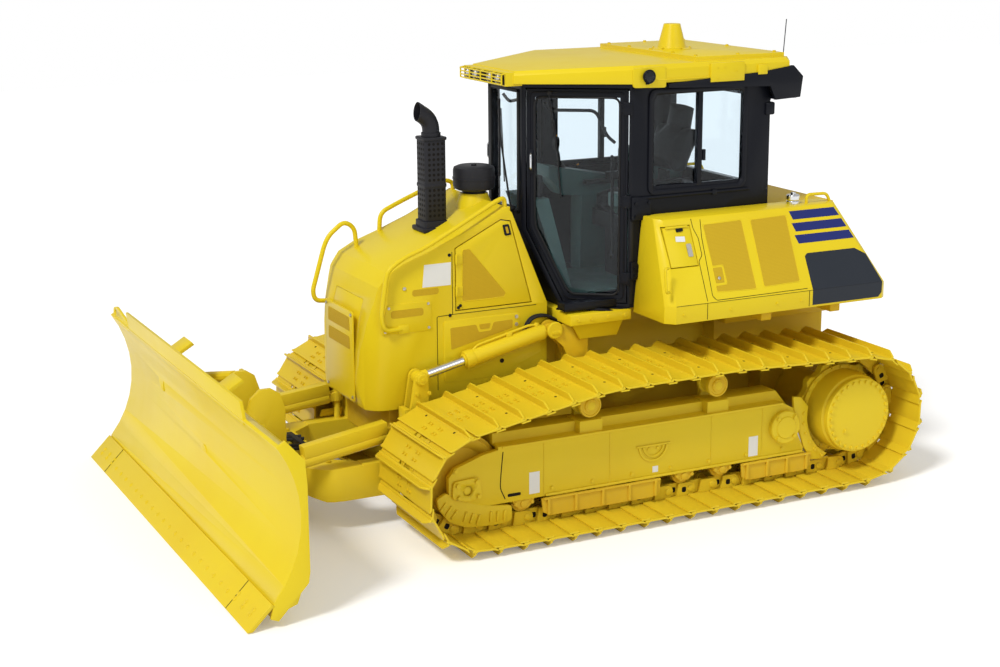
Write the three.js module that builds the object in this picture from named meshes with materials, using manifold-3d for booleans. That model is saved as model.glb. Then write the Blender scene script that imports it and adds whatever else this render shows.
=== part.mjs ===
// Bulldozer with a power-angle-tilt blade, wide tracks and a closed cab.
// Millimetres, +Z up, +X the machine's left, -Y forwards.
// The origin is on the ground under the middle of the machine.
import * as THREE from 'three';
import { mergeVertices } from 'three/addons/utils/BufferGeometryUtils.js';
import { ConvexGeometry } from 'three/addons/geometries/ConvexGeometry.js';
import Module from 'manifold-3d';

const wasm = await Module();
wasm.setup();

// ---------------------------------------------------------------- driving dimensions

const GAP = 0.3; // between pieces that touch
const DOOR_GAP = 8; // round doors and hatches
const SWING_GAP = 10; // round parts that move past each other

const TRACK = {
  gauge: 2130,
  shoeWidth: 860,
  shoeCount: 46,
  shoeThickness: 14,
  grouserHeight: 57,
  grouserWidth: 14,
  linkHeight: 95,
  chainWidth: 200,
  sprocket: { y: 2208, tipRadius: 535 },
  idler: { y: -930, tipRadius: 467 },
  carriers: [{ y: 1085, z: 862 }, { y: 40, z: 852 }],
  carrierRadius: 84,
  rollerRadius: 78,
  rollerCount: 8,
  firstRollerY: -496,
  lastRollerY: 1767,
};

const FRAME_RAIL = { halfWidth: 132, top: 668, bottom: 262, frontY: -690, rearY: 1830, crown: 70 };
const PIVOT = { y: 1640, z: 489, radius: 72 };
const EQUALIZER = { y: -350, depth: 110, bottom: 706, top: 806 };

const HULL = { halfWidth: 400, frontY: -1150, rearY: 2500, bottom: 390, deckZ: 785, caseHalfWidth: 555, caseFrontY: 1880 };
const TRUNNION = { y: 150, z: 450, pinRadius: 55, armRadius: 108 };

const ARM = { inner: 485, outer: 605, top: 480, bottom: 240, noseY: -1430, frontY: -1830 };
const LIFT = { x: 545, pin: { y: 60, z: 1265 }, eye: { y: -985, z: 1035 }, gland: 690, barrelRadius: 58, rodRadius: 32, rodStart: 390 };
const PIN_RADIUS = 30;
const PIN_PLAY = 1.5;

const SWIVEL = { y: -1950, ballRadius: 75, cheekLeft: 200, cheekRight: -300, thickness: 36, top: 1000 };
const TILT = { axisZ: 530, from: { x: -400, y: -1990, z: 940 }, to: { x: -1020, y: -2190, z: 800 } };
const ANGLE = { x: 548, pin: { y: -1175, z: 656 }, eye: { x: 620, y: -2225, z: 520 }, barrelRadius: 46, barrel: 705, rodStart: 390 };
const PIN_HEAD = { radius: 46, height: 14 };

const BLADE = {
  width: 3860,
  tipY: -2731,
  tipZ: 6,
  plate: 24,
  rearY: -2320,
  topY: -2492,
  topZ: 1133,
  edgeThickness: 25,
  spillHalfWidth: 1400,
  spillTop: 1262,
};

const HOOD = { halfWidth: 470, wall: 25, cornerRadius: 190, bottom: 800, frontY: -1346 };
const ENGINE = { halfWidth: 255, frontY: -950, rearY: -20, top: 1560 };
const STACK = { y: -650, radius: 82, top: 2640, mouthY: -760, mouthZ: 2800 };
const CLEANER = { y: -280, radius: 150, bottom: 2222, top: 2400, neckRadius: 95 };

const CAB = {
  frontHalfWidth: 270,
  frontY: -30,
  halfWidth: 720,
  pillarY: 610,
  rearY: 1780,
  top: 3000,
  waist: 1940,
  footHalfWidth: 430,
  footY: 197,
  floor: 1392,
  rearFloor: 2060,
  stepY: 1420,
  wall: 60,
};
const DOOR = { thickness: 50, glass: 8, knuckleRadius: 8, knuckleOut: 9 };
const ROOF = { bottom: CAB.top + GAP, top: 3128, plateTop: 3160, domeTop: 3345, rearY: 1960 };
const SIDE_BOX = { innerX: 727, outerX: 1210, topX: 930, bottom: 1362, band: 1490, top: 2062, frontY: 635, rearY: 2528, topRearY: 2240 };
const HATCH = { frontY: 730, rearY: 950, low: 1740, high: 2000, thickness: 24 };
const COOLER = { halfWidth: 700, frontY: 1445, rearY: 2400, bottom: 1175, top: 2030, wall: 26, coreRearY: 1900, armYs: [1470, 2080] };
const GRILLE = { halfWidth: 650, bottom: 1190, top: 1975, thickness: 40 };
const FAN = { radius: 320, blades: 6, y: 2180, z: 1610 };
const DECK = { halfWidth: 715, frontY: 130, rearY: 628, bottom: 1305, top: 1386 };
const RAIL_RADIUS = 17;

const YELLOW = 0xe0b818;
const SHADE_YELLOW = 0xc79a10;
const BLACK = 0x1b1c22;
const STEEL = 0xb9bcc0;
const TEAL = 0x3f5a58;
const GLASS = 0x9fc2c8;

// ---------------------------------------------------------------- making shapes

function toSolid(geometry) {
  const bare = geometry.index ? geometry.toNonIndexed() : geometry.clone();
  bare.deleteAttribute('normal');
  bare.deleteAttribute('uv');
  const merged = mergeVertices(bare, 1e-3);
  const index = merged.index.array;
  const kept = [];
  for (let i = 0; i < index.length; i += 3) {
    const [a, b, c] = [index[i], index[i + 1], index[i + 2]];
    if (a !== b && b !== c && a !== c) kept.push(a, b, c);
  }
  const vertProperties = new Float32Array(merged.attributes.position.array);
  return new wasm.Manifold(new wasm.Mesh({ numProp: 3, vertProperties, triVerts: new Uint32Array(kept) }));
}

function toGeometry(solid) {
  const mesh = solid.getMesh();
  const geometry = new THREE.BufferGeometry();
  geometry.setAttribute('position', new THREE.BufferAttribute(new Float32Array(mesh.vertProperties), 3));
  geometry.setIndex(new THREE.BufferAttribute(new Uint32Array(mesh.triVerts), 1));
  geometry.computeVertexNormals();
  return geometry;
}

function join(...geometries) {
  return toGeometry(geometries.map(toSolid).reduce((all, one) => all.add(one)));
}

function cut(base, ...tools) {
  return toGeometry(tools.map(toSolid).reduce((left, tool) => left.subtract(tool), toSolid(base)));
}

function overlapOf(first, second) {
  return toGeometry(toSolid(first).intersect(toSolid(second)));
}

function mirrored(geometry) {
  const copy = toGeometry(toSolid(geometry));
  copy.scale(-1, 1, 1);
  const index = copy.index.array;
  for (let i = 0; i < index.length; i += 3) [index[i], index[i + 1]] = [index[i + 1], index[i]];
  copy.computeVertexNormals();
  return copy;
}

function box(x0, x1, y0, y1, z0, z1) {
  const geometry = new THREE.BoxGeometry(x1 - x0, y1 - y0, z1 - z0);
  return geometry.translate((x0 + x1) / 2, (y0 + y1) / 2, (z0 + z1) / 2);
}

// A round bar from one point to another.
function bar(from, to, radius, sides = 12, endRadius = radius) {
  const start = new THREE.Vector3(...from);
  const run = new THREE.Vector3(...to).sub(start);
  const geometry = new THREE.CylinderGeometry(endRadius, radius, run.length(), sides);
  geometry.translate(0, run.length() / 2, 0);
  const turn = new THREE.Quaternion().setFromUnitVectors(new THREE.Vector3(0, 1, 0), run.clone().normalize());
  return geometry.applyQuaternion(turn).translate(...from);
}

function barX(x0, x1, y, z, radius, sides = 16) {
  return bar([x0, y, z], [x1, y, z], radius, sides);
}

function shapeOf(points, holes = []) {
  const shape = new THREE.Shape(points.map((p) => new THREE.Vector2(...p)));
  for (const hole of holes) shape.holes.push(new THREE.Path(hole.map((p) => new THREE.Vector2(...p))));
  return shape;
}

// Outline in (y, z), carried along X.
function prismX(points, x0, x1, holes = []) {
  const geometry = new THREE.ExtrudeGeometry(shapeOf(points, holes), { depth: x1 - x0, bevelEnabled: false });
  const turn = new THREE.Matrix4().makeBasis(
    new THREE.Vector3(0, 1, 0),
    new THREE.Vector3(0, 0, 1),
    new THREE.Vector3(1, 0, 0),
  );
  return geometry.applyMatrix4(turn).translate(x0, 0, 0);
}

// Outline in (x, y), carried along Z.
function prismZ(points, z0, z1) {
  const geometry = new THREE.ExtrudeGeometry(shapeOf(points), { depth: z1 - z0, bevelEnabled: false });
  return geometry.translate(0, 0, z0);
}

function hull(points) {
  return new ConvexGeometry(points.map((p) => new THREE.Vector3(...p)));
}

// A bent tube along a smooth line through the points, closed at both ends.
function tube(points, radius, sides = 6, steps = points.length * 4) {
  const path = new THREE.CatmullRomCurve3(points.map((p) => new THREE.Vector3(...p)), false, 'catmullrom', 0.25);
  const section = new THREE.Shape(arcPoints(0, 0, radius, 0, 360, sides).slice(0, sides).map((p) => new THREE.Vector2(...p)));
  return toGeometry(toSolid(new THREE.ExtrudeGeometry(section, { steps, extrudePath: path, bevelEnabled: false })));
}

function arcPoints(cx, cy, radius, from, to, count) {
  return Array.from({ length: count + 1 }, (_, i) => {
    const angle = THREE.MathUtils.degToRad(from + ((to - from) * i) / count);
    return [cx + radius * Math.cos(angle), cy + radius * Math.sin(angle)];
  });
}

// A convex outline moved inwards by a distance, corners kept sharp.
function inset(points, distance) {
  const lines = points.map(([x, y], i) => {
    const [nx, ny] = points[(i + 1) % points.length];
    const length = Math.hypot(nx - x, ny - y);
    const inward = [-(ny - y) / length, (nx - x) / length];
    return { px: x + inward[0] * distance, py: y + inward[1] * distance, dx: nx - x, dy: ny - y };
  });
  return lines.map((line, i) => {
    const before = lines[(i + lines.length - 1) % lines.length];
    const cross = before.dx * line.dy - before.dy * line.dx;
    const t = ((line.px - before.px) * line.dy - (line.py - before.py) * line.dx) / cross;
    return [before.px + before.dx * t, before.py + before.dy * t];
  });
}

function bothSides(points) {
  return [...points, ...points.map(([x, y]) => [-x, y]).reverse()];
}

// ---------------------------------------------------------------- tracks

const RAIL_DROP = TRACK.grouserHeight + TRACK.shoeThickness + TRACK.linkHeight;
const PITCH_DROP = TRACK.grouserHeight + TRACK.shoeThickness + TRACK.linkHeight / 2;
const RAIL_Z = RAIL_DROP;
const TRACK_X = TRACK.gauge / 2;

// The wheels that the chain runs round, with their radius at the chain's rail, in running order.
const CHAIN_WHEELS = [
  { y: TRACK.idler.y, z: TRACK.idler.tipRadius, r: TRACK.idler.tipRadius - RAIL_DROP },
  { y: TRACK.sprocket.y, z: TRACK.sprocket.tipRadius, r: TRACK.sprocket.tipRadius - RAIL_DROP },
  ...TRACK.carriers.map((c) => ({ ...c, r: TRACK.carrierRadius + SWING_GAP / 2 })),
];

// The closed line round all chain wheels, at a distance outside the rail.
function chainLine(offset, stepDegrees) {
  const wheels = CHAIN_WHEELS.map((w) => ({ ...w, r: w.r + offset }));
  const normals = wheels.map((from, i) => {
    const to = wheels[(i + 1) % wheels.length];
    const distance = Math.hypot(to.y - from.y, to.z - from.z);
    return Math.atan2(to.z - from.z, to.y - from.y) - Math.acos((from.r - to.r) / distance);
  });
  const line = [];
  wheels.forEach((wheel, i) => {
    const start = normals[(i + wheels.length - 1) % wheels.length];
    let sweep = normals[i] - start;
    while (sweep < 0) sweep += 2 * Math.PI;
    const steps = Math.max(1, Math.ceil(THREE.MathUtils.radToDeg(sweep) / stepDegrees));
    for (let k = 0; k <= steps; k += 1) {
      const angle = start + (sweep * k) / steps;
      line.push([wheel.y + wheel.r * Math.cos(angle), wheel.z + wheel.r * Math.sin(angle)]);
    }
  });
  return line;
}

// Equal stations along a closed line.
function stations(line, count) {
  const lengths = line.map(([y, z], i) => {
    const next = line[(i + 1) % line.length];
    return Math.hypot(next[0] - y, next[1] - z);
  });
  const total = lengths.reduce((sum, length) => sum + length, 0);
  const places = [];
  let segment = 0;
  let passed = 0;
  for (let i = 0; i < count; i += 1) {
    const goal = (total * i) / count;
    while (passed + lengths[segment] < goal) {
      passed += lengths[segment];
      segment += 1;
    }
    const share = (goal - passed) / lengths[segment];
    const [from, to] = [line[segment], line[(segment + 1) % line.length]];
    places.push([from[0] + (to[0] - from[0]) * share, from[1] + (to[1] - from[1]) * share]);
  }
  return places;
}

function trackLoop() {
  const pins = stations(chainLine(TRACK.linkHeight / 2, 3), TRACK.shoeCount);
  const shoeIn = TRACK.linkHeight / 2;
  const shoeOut = shoeIn + TRACK.shoeThickness;
  const outer = [];
  const inner = [];
  pins.forEach((pin, i) => {
    const next = pins[(i + 1) % pins.length];
    const length = Math.hypot(next[0] - pin[0], next[1] - pin[1]);
    const along = [(next[0] - pin[0]) / length, (next[1] - pin[1]) / length];
    const out = [along[1], -along[0]];
    const at = (s, h) => [pin[0] + along[0] * s + out[0] * h, pin[1] + along[1] * s + out[1] * h];
    const grouserStart = 12;
    const grouserEnd = grouserStart + TRACK.grouserWidth;
    outer.push(at(grouserStart, shoeOut));
    outer.push(at(grouserStart, shoeOut + TRACK.grouserHeight), at(grouserEnd, shoeOut + TRACK.grouserHeight));
    outer.push(at(grouserEnd + 6, shoeOut), at(length - 2, shoeOut));
    inner.push(at(length / 2, shoeIn));
  });
  const shoes = prismX(outer, -TRACK.shoeWidth / 2, TRACK.shoeWidth / 2, [inner.reverse()]);
  const chain = prismX(
    chainLine(TRACK.linkHeight + 3, 12),
    -TRACK.chainWidth / 2,
    TRACK.chainWidth / 2,
    [chainLine(0, 12).reverse()],
  );
  return join(shoes, chain);
}

function idlerWheel() {
  const radius = TRACK.idler.tipRadius - RAIL_DROP - SWING_GAP / 2;
  const rim = 46;
  const web = 20;
  const profile = [
    [0, -80], [70, -80], [70, -web], [radius - 70, -web], [radius - 50, -rim], [radius, -rim],
    [radius, rim], [radius - 50, rim], [radius - 70, web], [70, web], [70, 80], [0, 80],
  ].map((p) => new THREE.Vector2(...p));
  const wheel = new THREE.LatheGeometry(profile, 24).rotateZ(-Math.PI / 2);
  return toGeometry(toSolid(wheel.translate(0, TRACK.idler.y, TRACK.idler.tipRadius)));
}

function finalDrive() {
  const { y, tipRadius } = TRACK.sprocket;
  const teeth = 13;
  const root = tipRadius - RAIL_DROP - 34;
  const tip = tipRadius - RAIL_DROP - SWING_GAP / 2;
  const outline = Array.from({ length: teeth * 4 }, (_, i) => {
    const angle = (2 * Math.PI * i) / (teeth * 4);
    const radius = i % 4 < 2 ? tip : root;
    return [y + radius * Math.cos(angle), tipRadius + radius * Math.sin(angle)];
  });
  const sprocket = prismX(outline, -30, 30);
  const flange = barX(0, 150, y, tipRadius, 300, 16);
  const drum = barX(100, 285, y, tipRadius, 268, 16);
  const cover = barX(250, 305, y, tipRadius, 236, 16);
  const neck = barX(HULL.caseHalfWidth + GAP - TRACK_X, 0, y, tipRadius, 190, 12);
  return join(sprocket, flange, drum, cover, neck);
}

function rollerY(index) {
  const step = (TRACK.lastRollerY - TRACK.firstRollerY) / (TRACK.rollerCount - 1);
  return TRACK.firstRollerY + step * index;
}

// Bottom rollers on their shafts, carried by a rail down each side, with guard plates.
const ROLLER_SHAFT_RADIUS = 17;

function rollerGroup() {
  const z = RAIL_Z + TRACK.rollerRadius + GAP;
  const half = TRACK.chainWidth / 2;
  const profile = [
    [0, half + 20], [ROLLER_SHAFT_RADIUS, half + 20], [ROLLER_SHAFT_RADIUS, half - 12], [TRACK.rollerRadius, half - 12],
  ];
  const outline = [...profile, ...profile.map(([r, x]) => [r, -x]).reverse()].map((p) => new THREE.Vector2(...p));
  const pieces = [];
  for (let i = 0; i < TRACK.rollerCount; i += 1) {
    const roller = new THREE.LatheGeometry(outline.slice().reverse(), 10).rotateZ(-Math.PI / 2);
    pieces.push(roller.translate(0, rollerY(i), z));
  }
  const railTop = FRAME_RAIL.bottom - GAP;
  for (const side of [-1, 1]) {
    const near = side * (half + 8);
    const far = side * (half + 26);
    const span = [Math.min(near, far), Math.max(near, far)];
    pieces.push(box(...span, rollerY(0) - 60, rollerY(7) + 60, railTop - 40, railTop));
    for (const [first, last] of [[1, 3], [6, 7]]) {
      pieces.push(box(...span, rollerY(first) - 110, rollerY(last) + 90, railTop - 96, railTop - 30));
    }
  }
  return join(...pieces);
}

function trackFrame() {
  const { halfWidth, top, bottom, frontY, rearY, crown } = FRAME_RAIL;
  const side = [
    [frontY + 330, bottom], [rearY, bottom], [rearY, bottom + 40], [rearY - 60, 420],
    [rearY - 90, top - 60], [rearY - 200, top], [frontY, top], [frontY, top - 160],
  ];
  const raised = side.map(([y, z]) => [y, z === top ? z + crown : z]);
  const body = join(prismX(side, -halfWidth, halfWidth), prismX(raised, -halfWidth, halfWidth - 90));
  const yoke = [
    [frontY + 340, bottom], [frontY + 20, top - 20], [-800, top - 40], [-1010, 560], [-1060, 500],
    [-1060, 330], [-900, bottom],
  ];
  const plates = [-1, 1].map((s) => {
    const near = s * 88;
    const far = s * halfWidth;
    return prismX(yoke, Math.min(near, far), Math.max(near, far));
  });
  const pads = TRACK.carriers.map(({ y, z }) => join(
    box(-70, halfWidth - 20, y - 90, y + 90, top + crown - 90, top + crown + 12),
    box(-100, -60, y - 40, y + 40, top + crown - 30, z),
    barX(-100, 118, y, z, 30, 12),
    barX(-48, 96, y, z, TRACK.carrierRadius - 14, 12),
    barX(-48, -20, y, z, TRACK.carrierRadius, 12),
    barX(60, 100, y, z, TRACK.carrierRadius, 12),
  ));
  const pivotBoss = barX(-halfWidth, halfWidth + 30, PIVOT.y, PIVOT.z, 122, 16);
  const shaftHole = barX(-halfWidth - 20, halfWidth - 40, PIVOT.y, PIVOT.z, PIVOT.radius + GAP, 16);
  const whole = join(body, ...plates, ...pads, pivotBoss);
  const rollerRoom = box(
    -TRACK.chainWidth / 2 + 7, TRACK.chainWidth / 2 - 7, rollerY(0) - 110, rollerY(7) + 110,
    0, RAIL_Z + 2 * TRACK.rollerRadius + SWING_GAP,
  );
  const idlerRoom = barX(-86, 86, TRACK.idler.y, TRACK.idler.tipRadius, TRACK.idler.tipRadius - RAIL_DROP + 8, 20);
  return cut(whole, shaftHole, idlerRoom, rollerRoom);
}

// ---------------------------------------------------------------- main frame and front

function liftBracket() {
  const { x, pin } = LIFT;
  const ear = [
    ...arcPoints(pin.y, pin.z, 56, 80, 260, 8),
    [pin.y + 70, pin.z - 130], [pin.y + 150, pin.z - 300], [pin.y + 250, pin.z - 300], [pin.y + 250, 1299],
    [pin.y + 60, 1299],
  ];
  const half = ARM.outer - x;
  const plate = 20;
  const ears = [[x - half, x - half + plate], [x + half - plate, x + half]].map(([a, b]) => prismX(ear, a, b));
  const block = box(HULL.halfWidth - 5, ARM.outer, pin.y + 110, pin.y + 270, 880, 1299);
  const pinBar = barX(x - half, x + half, pin.y, pin.z, PIN_RADIUS, 12);
  return join(...ears, block, pinBar);
}

function mainFrame() {
  const { halfWidth, frontY, rearY, bottom, deckZ, caseHalfWidth, caseFrontY } = HULL;
  const belly = prismX([
    [frontY + 120, bottom], [caseFrontY + 100, bottom], [caseFrontY + 100, deckZ], [frontY, deckZ], [frontY, bottom + 110],
  ], -halfWidth, halfWidth);
  const middle = box(-halfWidth, halfWidth, 85, COOLER.frontY - SWING_GAP, deckZ - 10, DECK.bottom - GAP);
  const rearMiddle = box(-caseHalfWidth, caseHalfWidth, COOLER.frontY, rearY - 60, deckZ - 10, COOLER.bottom - GAP);
  const rearCase = prismX([
    [caseFrontY, 420], [caseFrontY + 60, 370], [rearY - 60, 370], [rearY, 440], [rearY, 900], [rearY - 60, 960],
    [caseFrontY, 960],
  ], -caseHalfWidth, caseHalfWidth);
  const brackets = [liftBracket(), mirrored(liftBracket())];
  const trunnions = barX(-ARM.outer - 12, ARM.outer + 12, TRUNNION.y, TRUNNION.z, TRUNNION.pinRadius, 16);
  const sole = box(-halfWidth, halfWidth, COOLER.frontY - 60, COOLER.frontY + 60, deckZ - 10, COOLER.bottom - GAP);
  const whole = join(belly, middle, rearMiddle, sole, rearCase, ...brackets, trunnions);
  const barSlot = box(
    -halfWidth - 10, halfWidth + 10,
    EQUALIZER.y - EQUALIZER.depth / 2 - 3, EQUALIZER.y + EQUALIZER.depth / 2 + 3,
    EQUALIZER.bottom - 3, deckZ + 10,
  );
  const shaftBore = barX(-caseHalfWidth - 10, caseHalfWidth + 10, PIVOT.y, PIVOT.z, PIVOT.radius + GAP, 16);
  return cut(whole, barSlot, shaftBore);
}

function equalizerBar() {
  const { y, depth, bottom, top } = EQUALIZER;
  const end = TRACK_X - FRAME_RAIL.halfWidth - 2;
  const low = FRAME_RAIL.top + FRAME_RAIL.crown;
  const beam = box(-end, end, y - depth / 2, y + depth / 2, bottom, top - 30);
  const boss = box(-350, 350, y - depth / 2, y + depth / 2, bottom, HULL.deckZ - 4);
  const ends = [-1, 1].map((s) => bar([s * (end - 60), y - 80, low - 10], [s * (end - 60), y + 80, low - 10], 60, 12));
  return join(beam, boss, ...ends);
}

function pivotShaft() {
  const end = TRACK_X + FRAME_RAIL.halfWidth - 41;
  return barX(-end, end, PIVOT.y, PIVOT.z, PIVOT.radius, 16);
}

function drawbar() {
  const y0 = HULL.rearY + GAP;
  const plate = box(-150, 150, y0, y0 + 40, 430, 640);
  const lips = [box(-80, 80, y0 + 30, y0 + 190, 455, 490), box(-80, 80, y0 + 30, y0 + 190, 575, 610)];
  const hole = bar([0, y0 + 130, 440], [0, y0 + 130, 625], 28, 12);
  return cut(join(plate, ...lips), hole);
}

// ---------------------------------------------------------------- hood

const HOOD_TOP = [
  [-1300, 1428], [-1232, 1676], [-1158, 1771], [-1048, 1829], [-866, 1893], [-607, 1995], [-258, 2165],
];
const HOOD_REAR = { topY: -212, topZ: 2120, bendY: 70, bendZ: 1440, footY: 62 };

function hoodBody(shrink) {
  const { halfWidth, bottom, frontY, cornerRadius } = HOOD;
  const open = shrink > 0 ? 60 : 0;
  const front = [[frontY + 26, bottom - open], [frontY + 6, 900], [frontY, 1000], [frontY + 11, 1207]];
  const rear = [
    [HOOD_REAR.topY, HOOD_REAR.topZ], [HOOD_REAR.bendY, HOOD_REAR.bendZ], [HOOD_REAR.footY, bottom - open],
  ];
  const profile = [
    ...front.map(([y, z]) => [y + shrink, z]),
    ...HOOD_TOP.map(([y, z], i) => [y + (i < 3 ? shrink : 0), z - shrink]),
    ...rear.map(([y, z]) => [y + open, z]),
  ];
  const half = halfWidth - shrink;
  const radius = cornerRadius - shrink;
  const y0 = frontY + shrink;
  const plan = [
    ...arcPoints(half - radius, y0 + radius, radius, -90, 0, 6),
    [half, 300],
    [-half, 300],
    ...arcPoints(-half + radius, y0 + radius, radius, 180, 270, 6),
  ];
  return overlapOf(prismX(profile.reverse(), -half, half), prismZ(plan, bottom - 200, 2400));
}

function hoodShell() {
  return cut(hoodBody(0), hoodBody(HOOD.wall));
}

const HOOD_DOOR = [[-650, 1462], [-62, 1462], [-228, 2056], [-300, 2070], [-650, 1900]];

function grownDoor(gap) {
  return inset(HOOD_DOOR, -gap);
}

const FRONT_PANEL = { halfWidth: 250, bottom: 870, top: 1560 };

function hood() {
  const { halfWidth, frontY } = HOOD;
  const doors = [-1, 1].map((s) => {
    const span = [s * (halfWidth - 60), s * (halfWidth + 20)].sort((a, b) => a - b);
    return prismX(grownDoor(DOOR_GAP), ...span);
  });
  const panel = box(
    -FRONT_PANEL.halfWidth - 3, FRONT_PANEL.halfWidth + 3, frontY - 20, frontY + 200,
    FRONT_PANEL.bottom - 3, FRONT_PANEL.top + 3,
  );
  return cut(hoodShell(), ...doors, panel);
}

function grillePanel() {
  const { halfWidth, bottom, top } = FRONT_PANEL;
  return overlapOf(hoodShell(), box(-halfWidth, halfWidth, HOOD.frontY - 20, HOOD.frontY + 200, bottom, top));
}

function hoodDoor() {
  const { halfWidth } = HOOD;
  const panel = overlapOf(hoodShell(), prismX(HOOD_DOOR, halfWidth - 60, halfWidth + 20));
  const hinges = [1560, 1790].map((z) => bar([halfWidth + 9, -650, z], [halfWidth + 9, -650, z + 70], 9, 12));
  const leaves = [1560, 1790].map((z) => box(halfWidth - 2, halfWidth + 6, -650, -600, z, z + 70));
  return join(panel, ...hinges, ...leaves);
}

function engineBlock() {
  const { halfWidth, frontY, rearY, top } = ENGINE;
  return box(-halfWidth, halfWidth, frontY, rearY, HULL.deckZ + GAP + 30, top);
}

function hoodTopCutter() {
  return hoodBody(0).translate(0, 0, 1);
}

function exhaustStack() {
  const { y, radius, top, mouthY, mouthZ } = STACK;
  const guard = box(-radius, radius, y - radius, y + radius, 1930, top);
  const pipe = bar([0, y, top - 20], [0, y, top + 70], 58, 12);
  const elbow = bar([0, y + 6, top + 40], [0, mouthY, mouthZ], 62, 12);
  return cut(join(guard, pipe, elbow), hoodTopCutter());
}

function airPreCleaner() {
  const { y, radius, bottom, top, neckRadius } = CLEANER;
  const profile = [
    [0, top], [radius - 30, top], [radius, top - 22], [radius, bottom + 16], [radius - 14, bottom], [70, bottom],
    [70, bottom - 40], [neckRadius, 2060], [neckRadius, 2020], [0, 2020],
  ].map((p) => new THREE.Vector2(...p)).reverse();
  const body = new THREE.LatheGeometry(profile, 20).rotateX(Math.PI / 2);
  return cut(body.translate(0, y, 0), hoodTopCutter());
}

// The hood, grown a hair, for cutting what stands on it.
function hoodClearance() {
  return hoodBody(0).scale(1.002, 1.0004, 1.0006);
}

function hoodRailLeft() {
  return cut(tube([
    [430, -250, 2150], [430, -250, 2215], [455, -330, 2200], [495, -700, 2010], [505, -960, 1925],
    [505, -1130, 1850], [505, -1175, 1780], [505, -1185, 1480], [505, -1150, 1440], [460, -1020, 1420],
  ], RAIL_RADIUS), hoodClearance());
}

function hoodRailRight() {
  return cut(tube([
    [-430, -250, 2150], [-430, -250, 2230], [-430, -330, 2250], [-430, -640, 2130], [-430, -780, 2060], [-430, -790, 1900],
  ], RAIL_RADIUS), hoodClearance());
}

function frontGrabRail() {
  return cut(tube([
    [-330, -1200, 1640], [-330, -1420, 1680], [-330, -1450, 1720], [-330, -1400, 2020], [-330, -1350, 2070],
    [-330, -1130, 2080], [-330, -1090, 2050], [-330, -1080, 1780],
  ], RAIL_RADIUS), hoodClearance());
}

// ---------------------------------------------------------------- cab

const DOOR_PLANE = (() => {
  const run = new THREE.Vector2(CAB.halfWidth - CAB.frontHalfWidth, CAB.pillarY - CAB.frontY);
  const length = run.length();
  return { length, ux: run.x / length, uy: run.y / length };
})();

// Outline in (u, z) on the left door's outer face, carried inwards and outwards along the face's normal.
function prismOnDoor(points, inward, outward) {
  const { ux, uy } = DOOR_PLANE;
  const geometry = new THREE.ExtrudeGeometry(shapeOf(points), { depth: inward + outward, bevelEnabled: false });
  geometry.translate(0, 0, -inward);
  const turn = new THREE.Matrix4().makeBasis(
    new THREE.Vector3(ux, uy, 0),
    new THREE.Vector3(0, 0, 1),
    new THREE.Vector3(uy, -ux, 0),
  );
  return geometry.applyMatrix4(turn).translate(CAB.frontHalfWidth, CAB.frontY, 0);
}

const HINGE_ZS = [1560, 2120, 2780];
const DOOR_LEAF = {
  front: 36,
  rear: DOOR_PLANE.length - 26,
  top: 2958,
  bottom: 1428,
  bend: 1965,
  footU: 300,
  stile: 58,
};

function doorOutline(shrink) {
  const { front, rear, top, bottom, bend, footU } = DOOR_LEAF;
  const corners = [[footU, bottom], [rear, bottom], [rear, top], [front, top], [front, bend]];
  return inset(corners, shrink);
}

function planAt(z) {
  const share = Math.max(0, Math.min(1, (CAB.waist - z) / (CAB.waist - CAB.floor)));
  const x = CAB.frontHalfWidth + (CAB.footHalfWidth - CAB.frontHalfWidth) * share;
  const y = CAB.frontY + (CAB.footY - CAB.frontY) * share;
  return [[-x, y], [x, y], [CAB.halfWidth, CAB.pillarY], [CAB.halfWidth, CAB.rearY], [-CAB.halfWidth, CAB.rearY],
    [-CAB.halfWidth, CAB.pillarY]];
}

function cabFrame() {
  const { wall, floor, top, waist, rearFloor, stepY, rearY, frontY } = CAB;
  const levels = [floor, waist, top];
  const outer = hull(levels.flatMap((z) => planAt(z).map(([x, y]) => [x, y, z])));
  const innerLevels = [floor + wall, waist, top - wall];
  const inner = hull(innerLevels.flatMap((z) => inset(planAt(z), wall).map(([x, y]) => [x, y, z])));
  const step = box(-900, 900, stepY, rearY + 50, floor - 50, rearFloor);
  const innerStep = box(-900, 900, stepY - wall, rearY + 50, floor - 50, rearFloor + wall);
  const room = cut(inner, innerStep);
  const windows = [
    box(-216, 216, frontY - 40, frontY + wall + 20, 2080, 2930),
    box(CAB.halfWidth - wall - 20, CAB.halfWidth + 20, 762, 1560, 2215, 2935),
    box(-CAB.halfWidth - 20, -CAB.halfWidth + wall + 20, 762, 1560, 2215, 2935),
    box(-560, 560, rearY - wall - 20, rearY + 20, 2200, 2900),
  ];
  const opening = prismOnDoor(doorOutline(-DOOR_GAP), wall + 20, 20);
  const roofHole = prismZ(inset(planAt(top), 160), top - wall - 20, top + 20);
  return cut(outer, step, room, ...windows, opening, mirrored(opening), roofHole);
}

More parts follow.
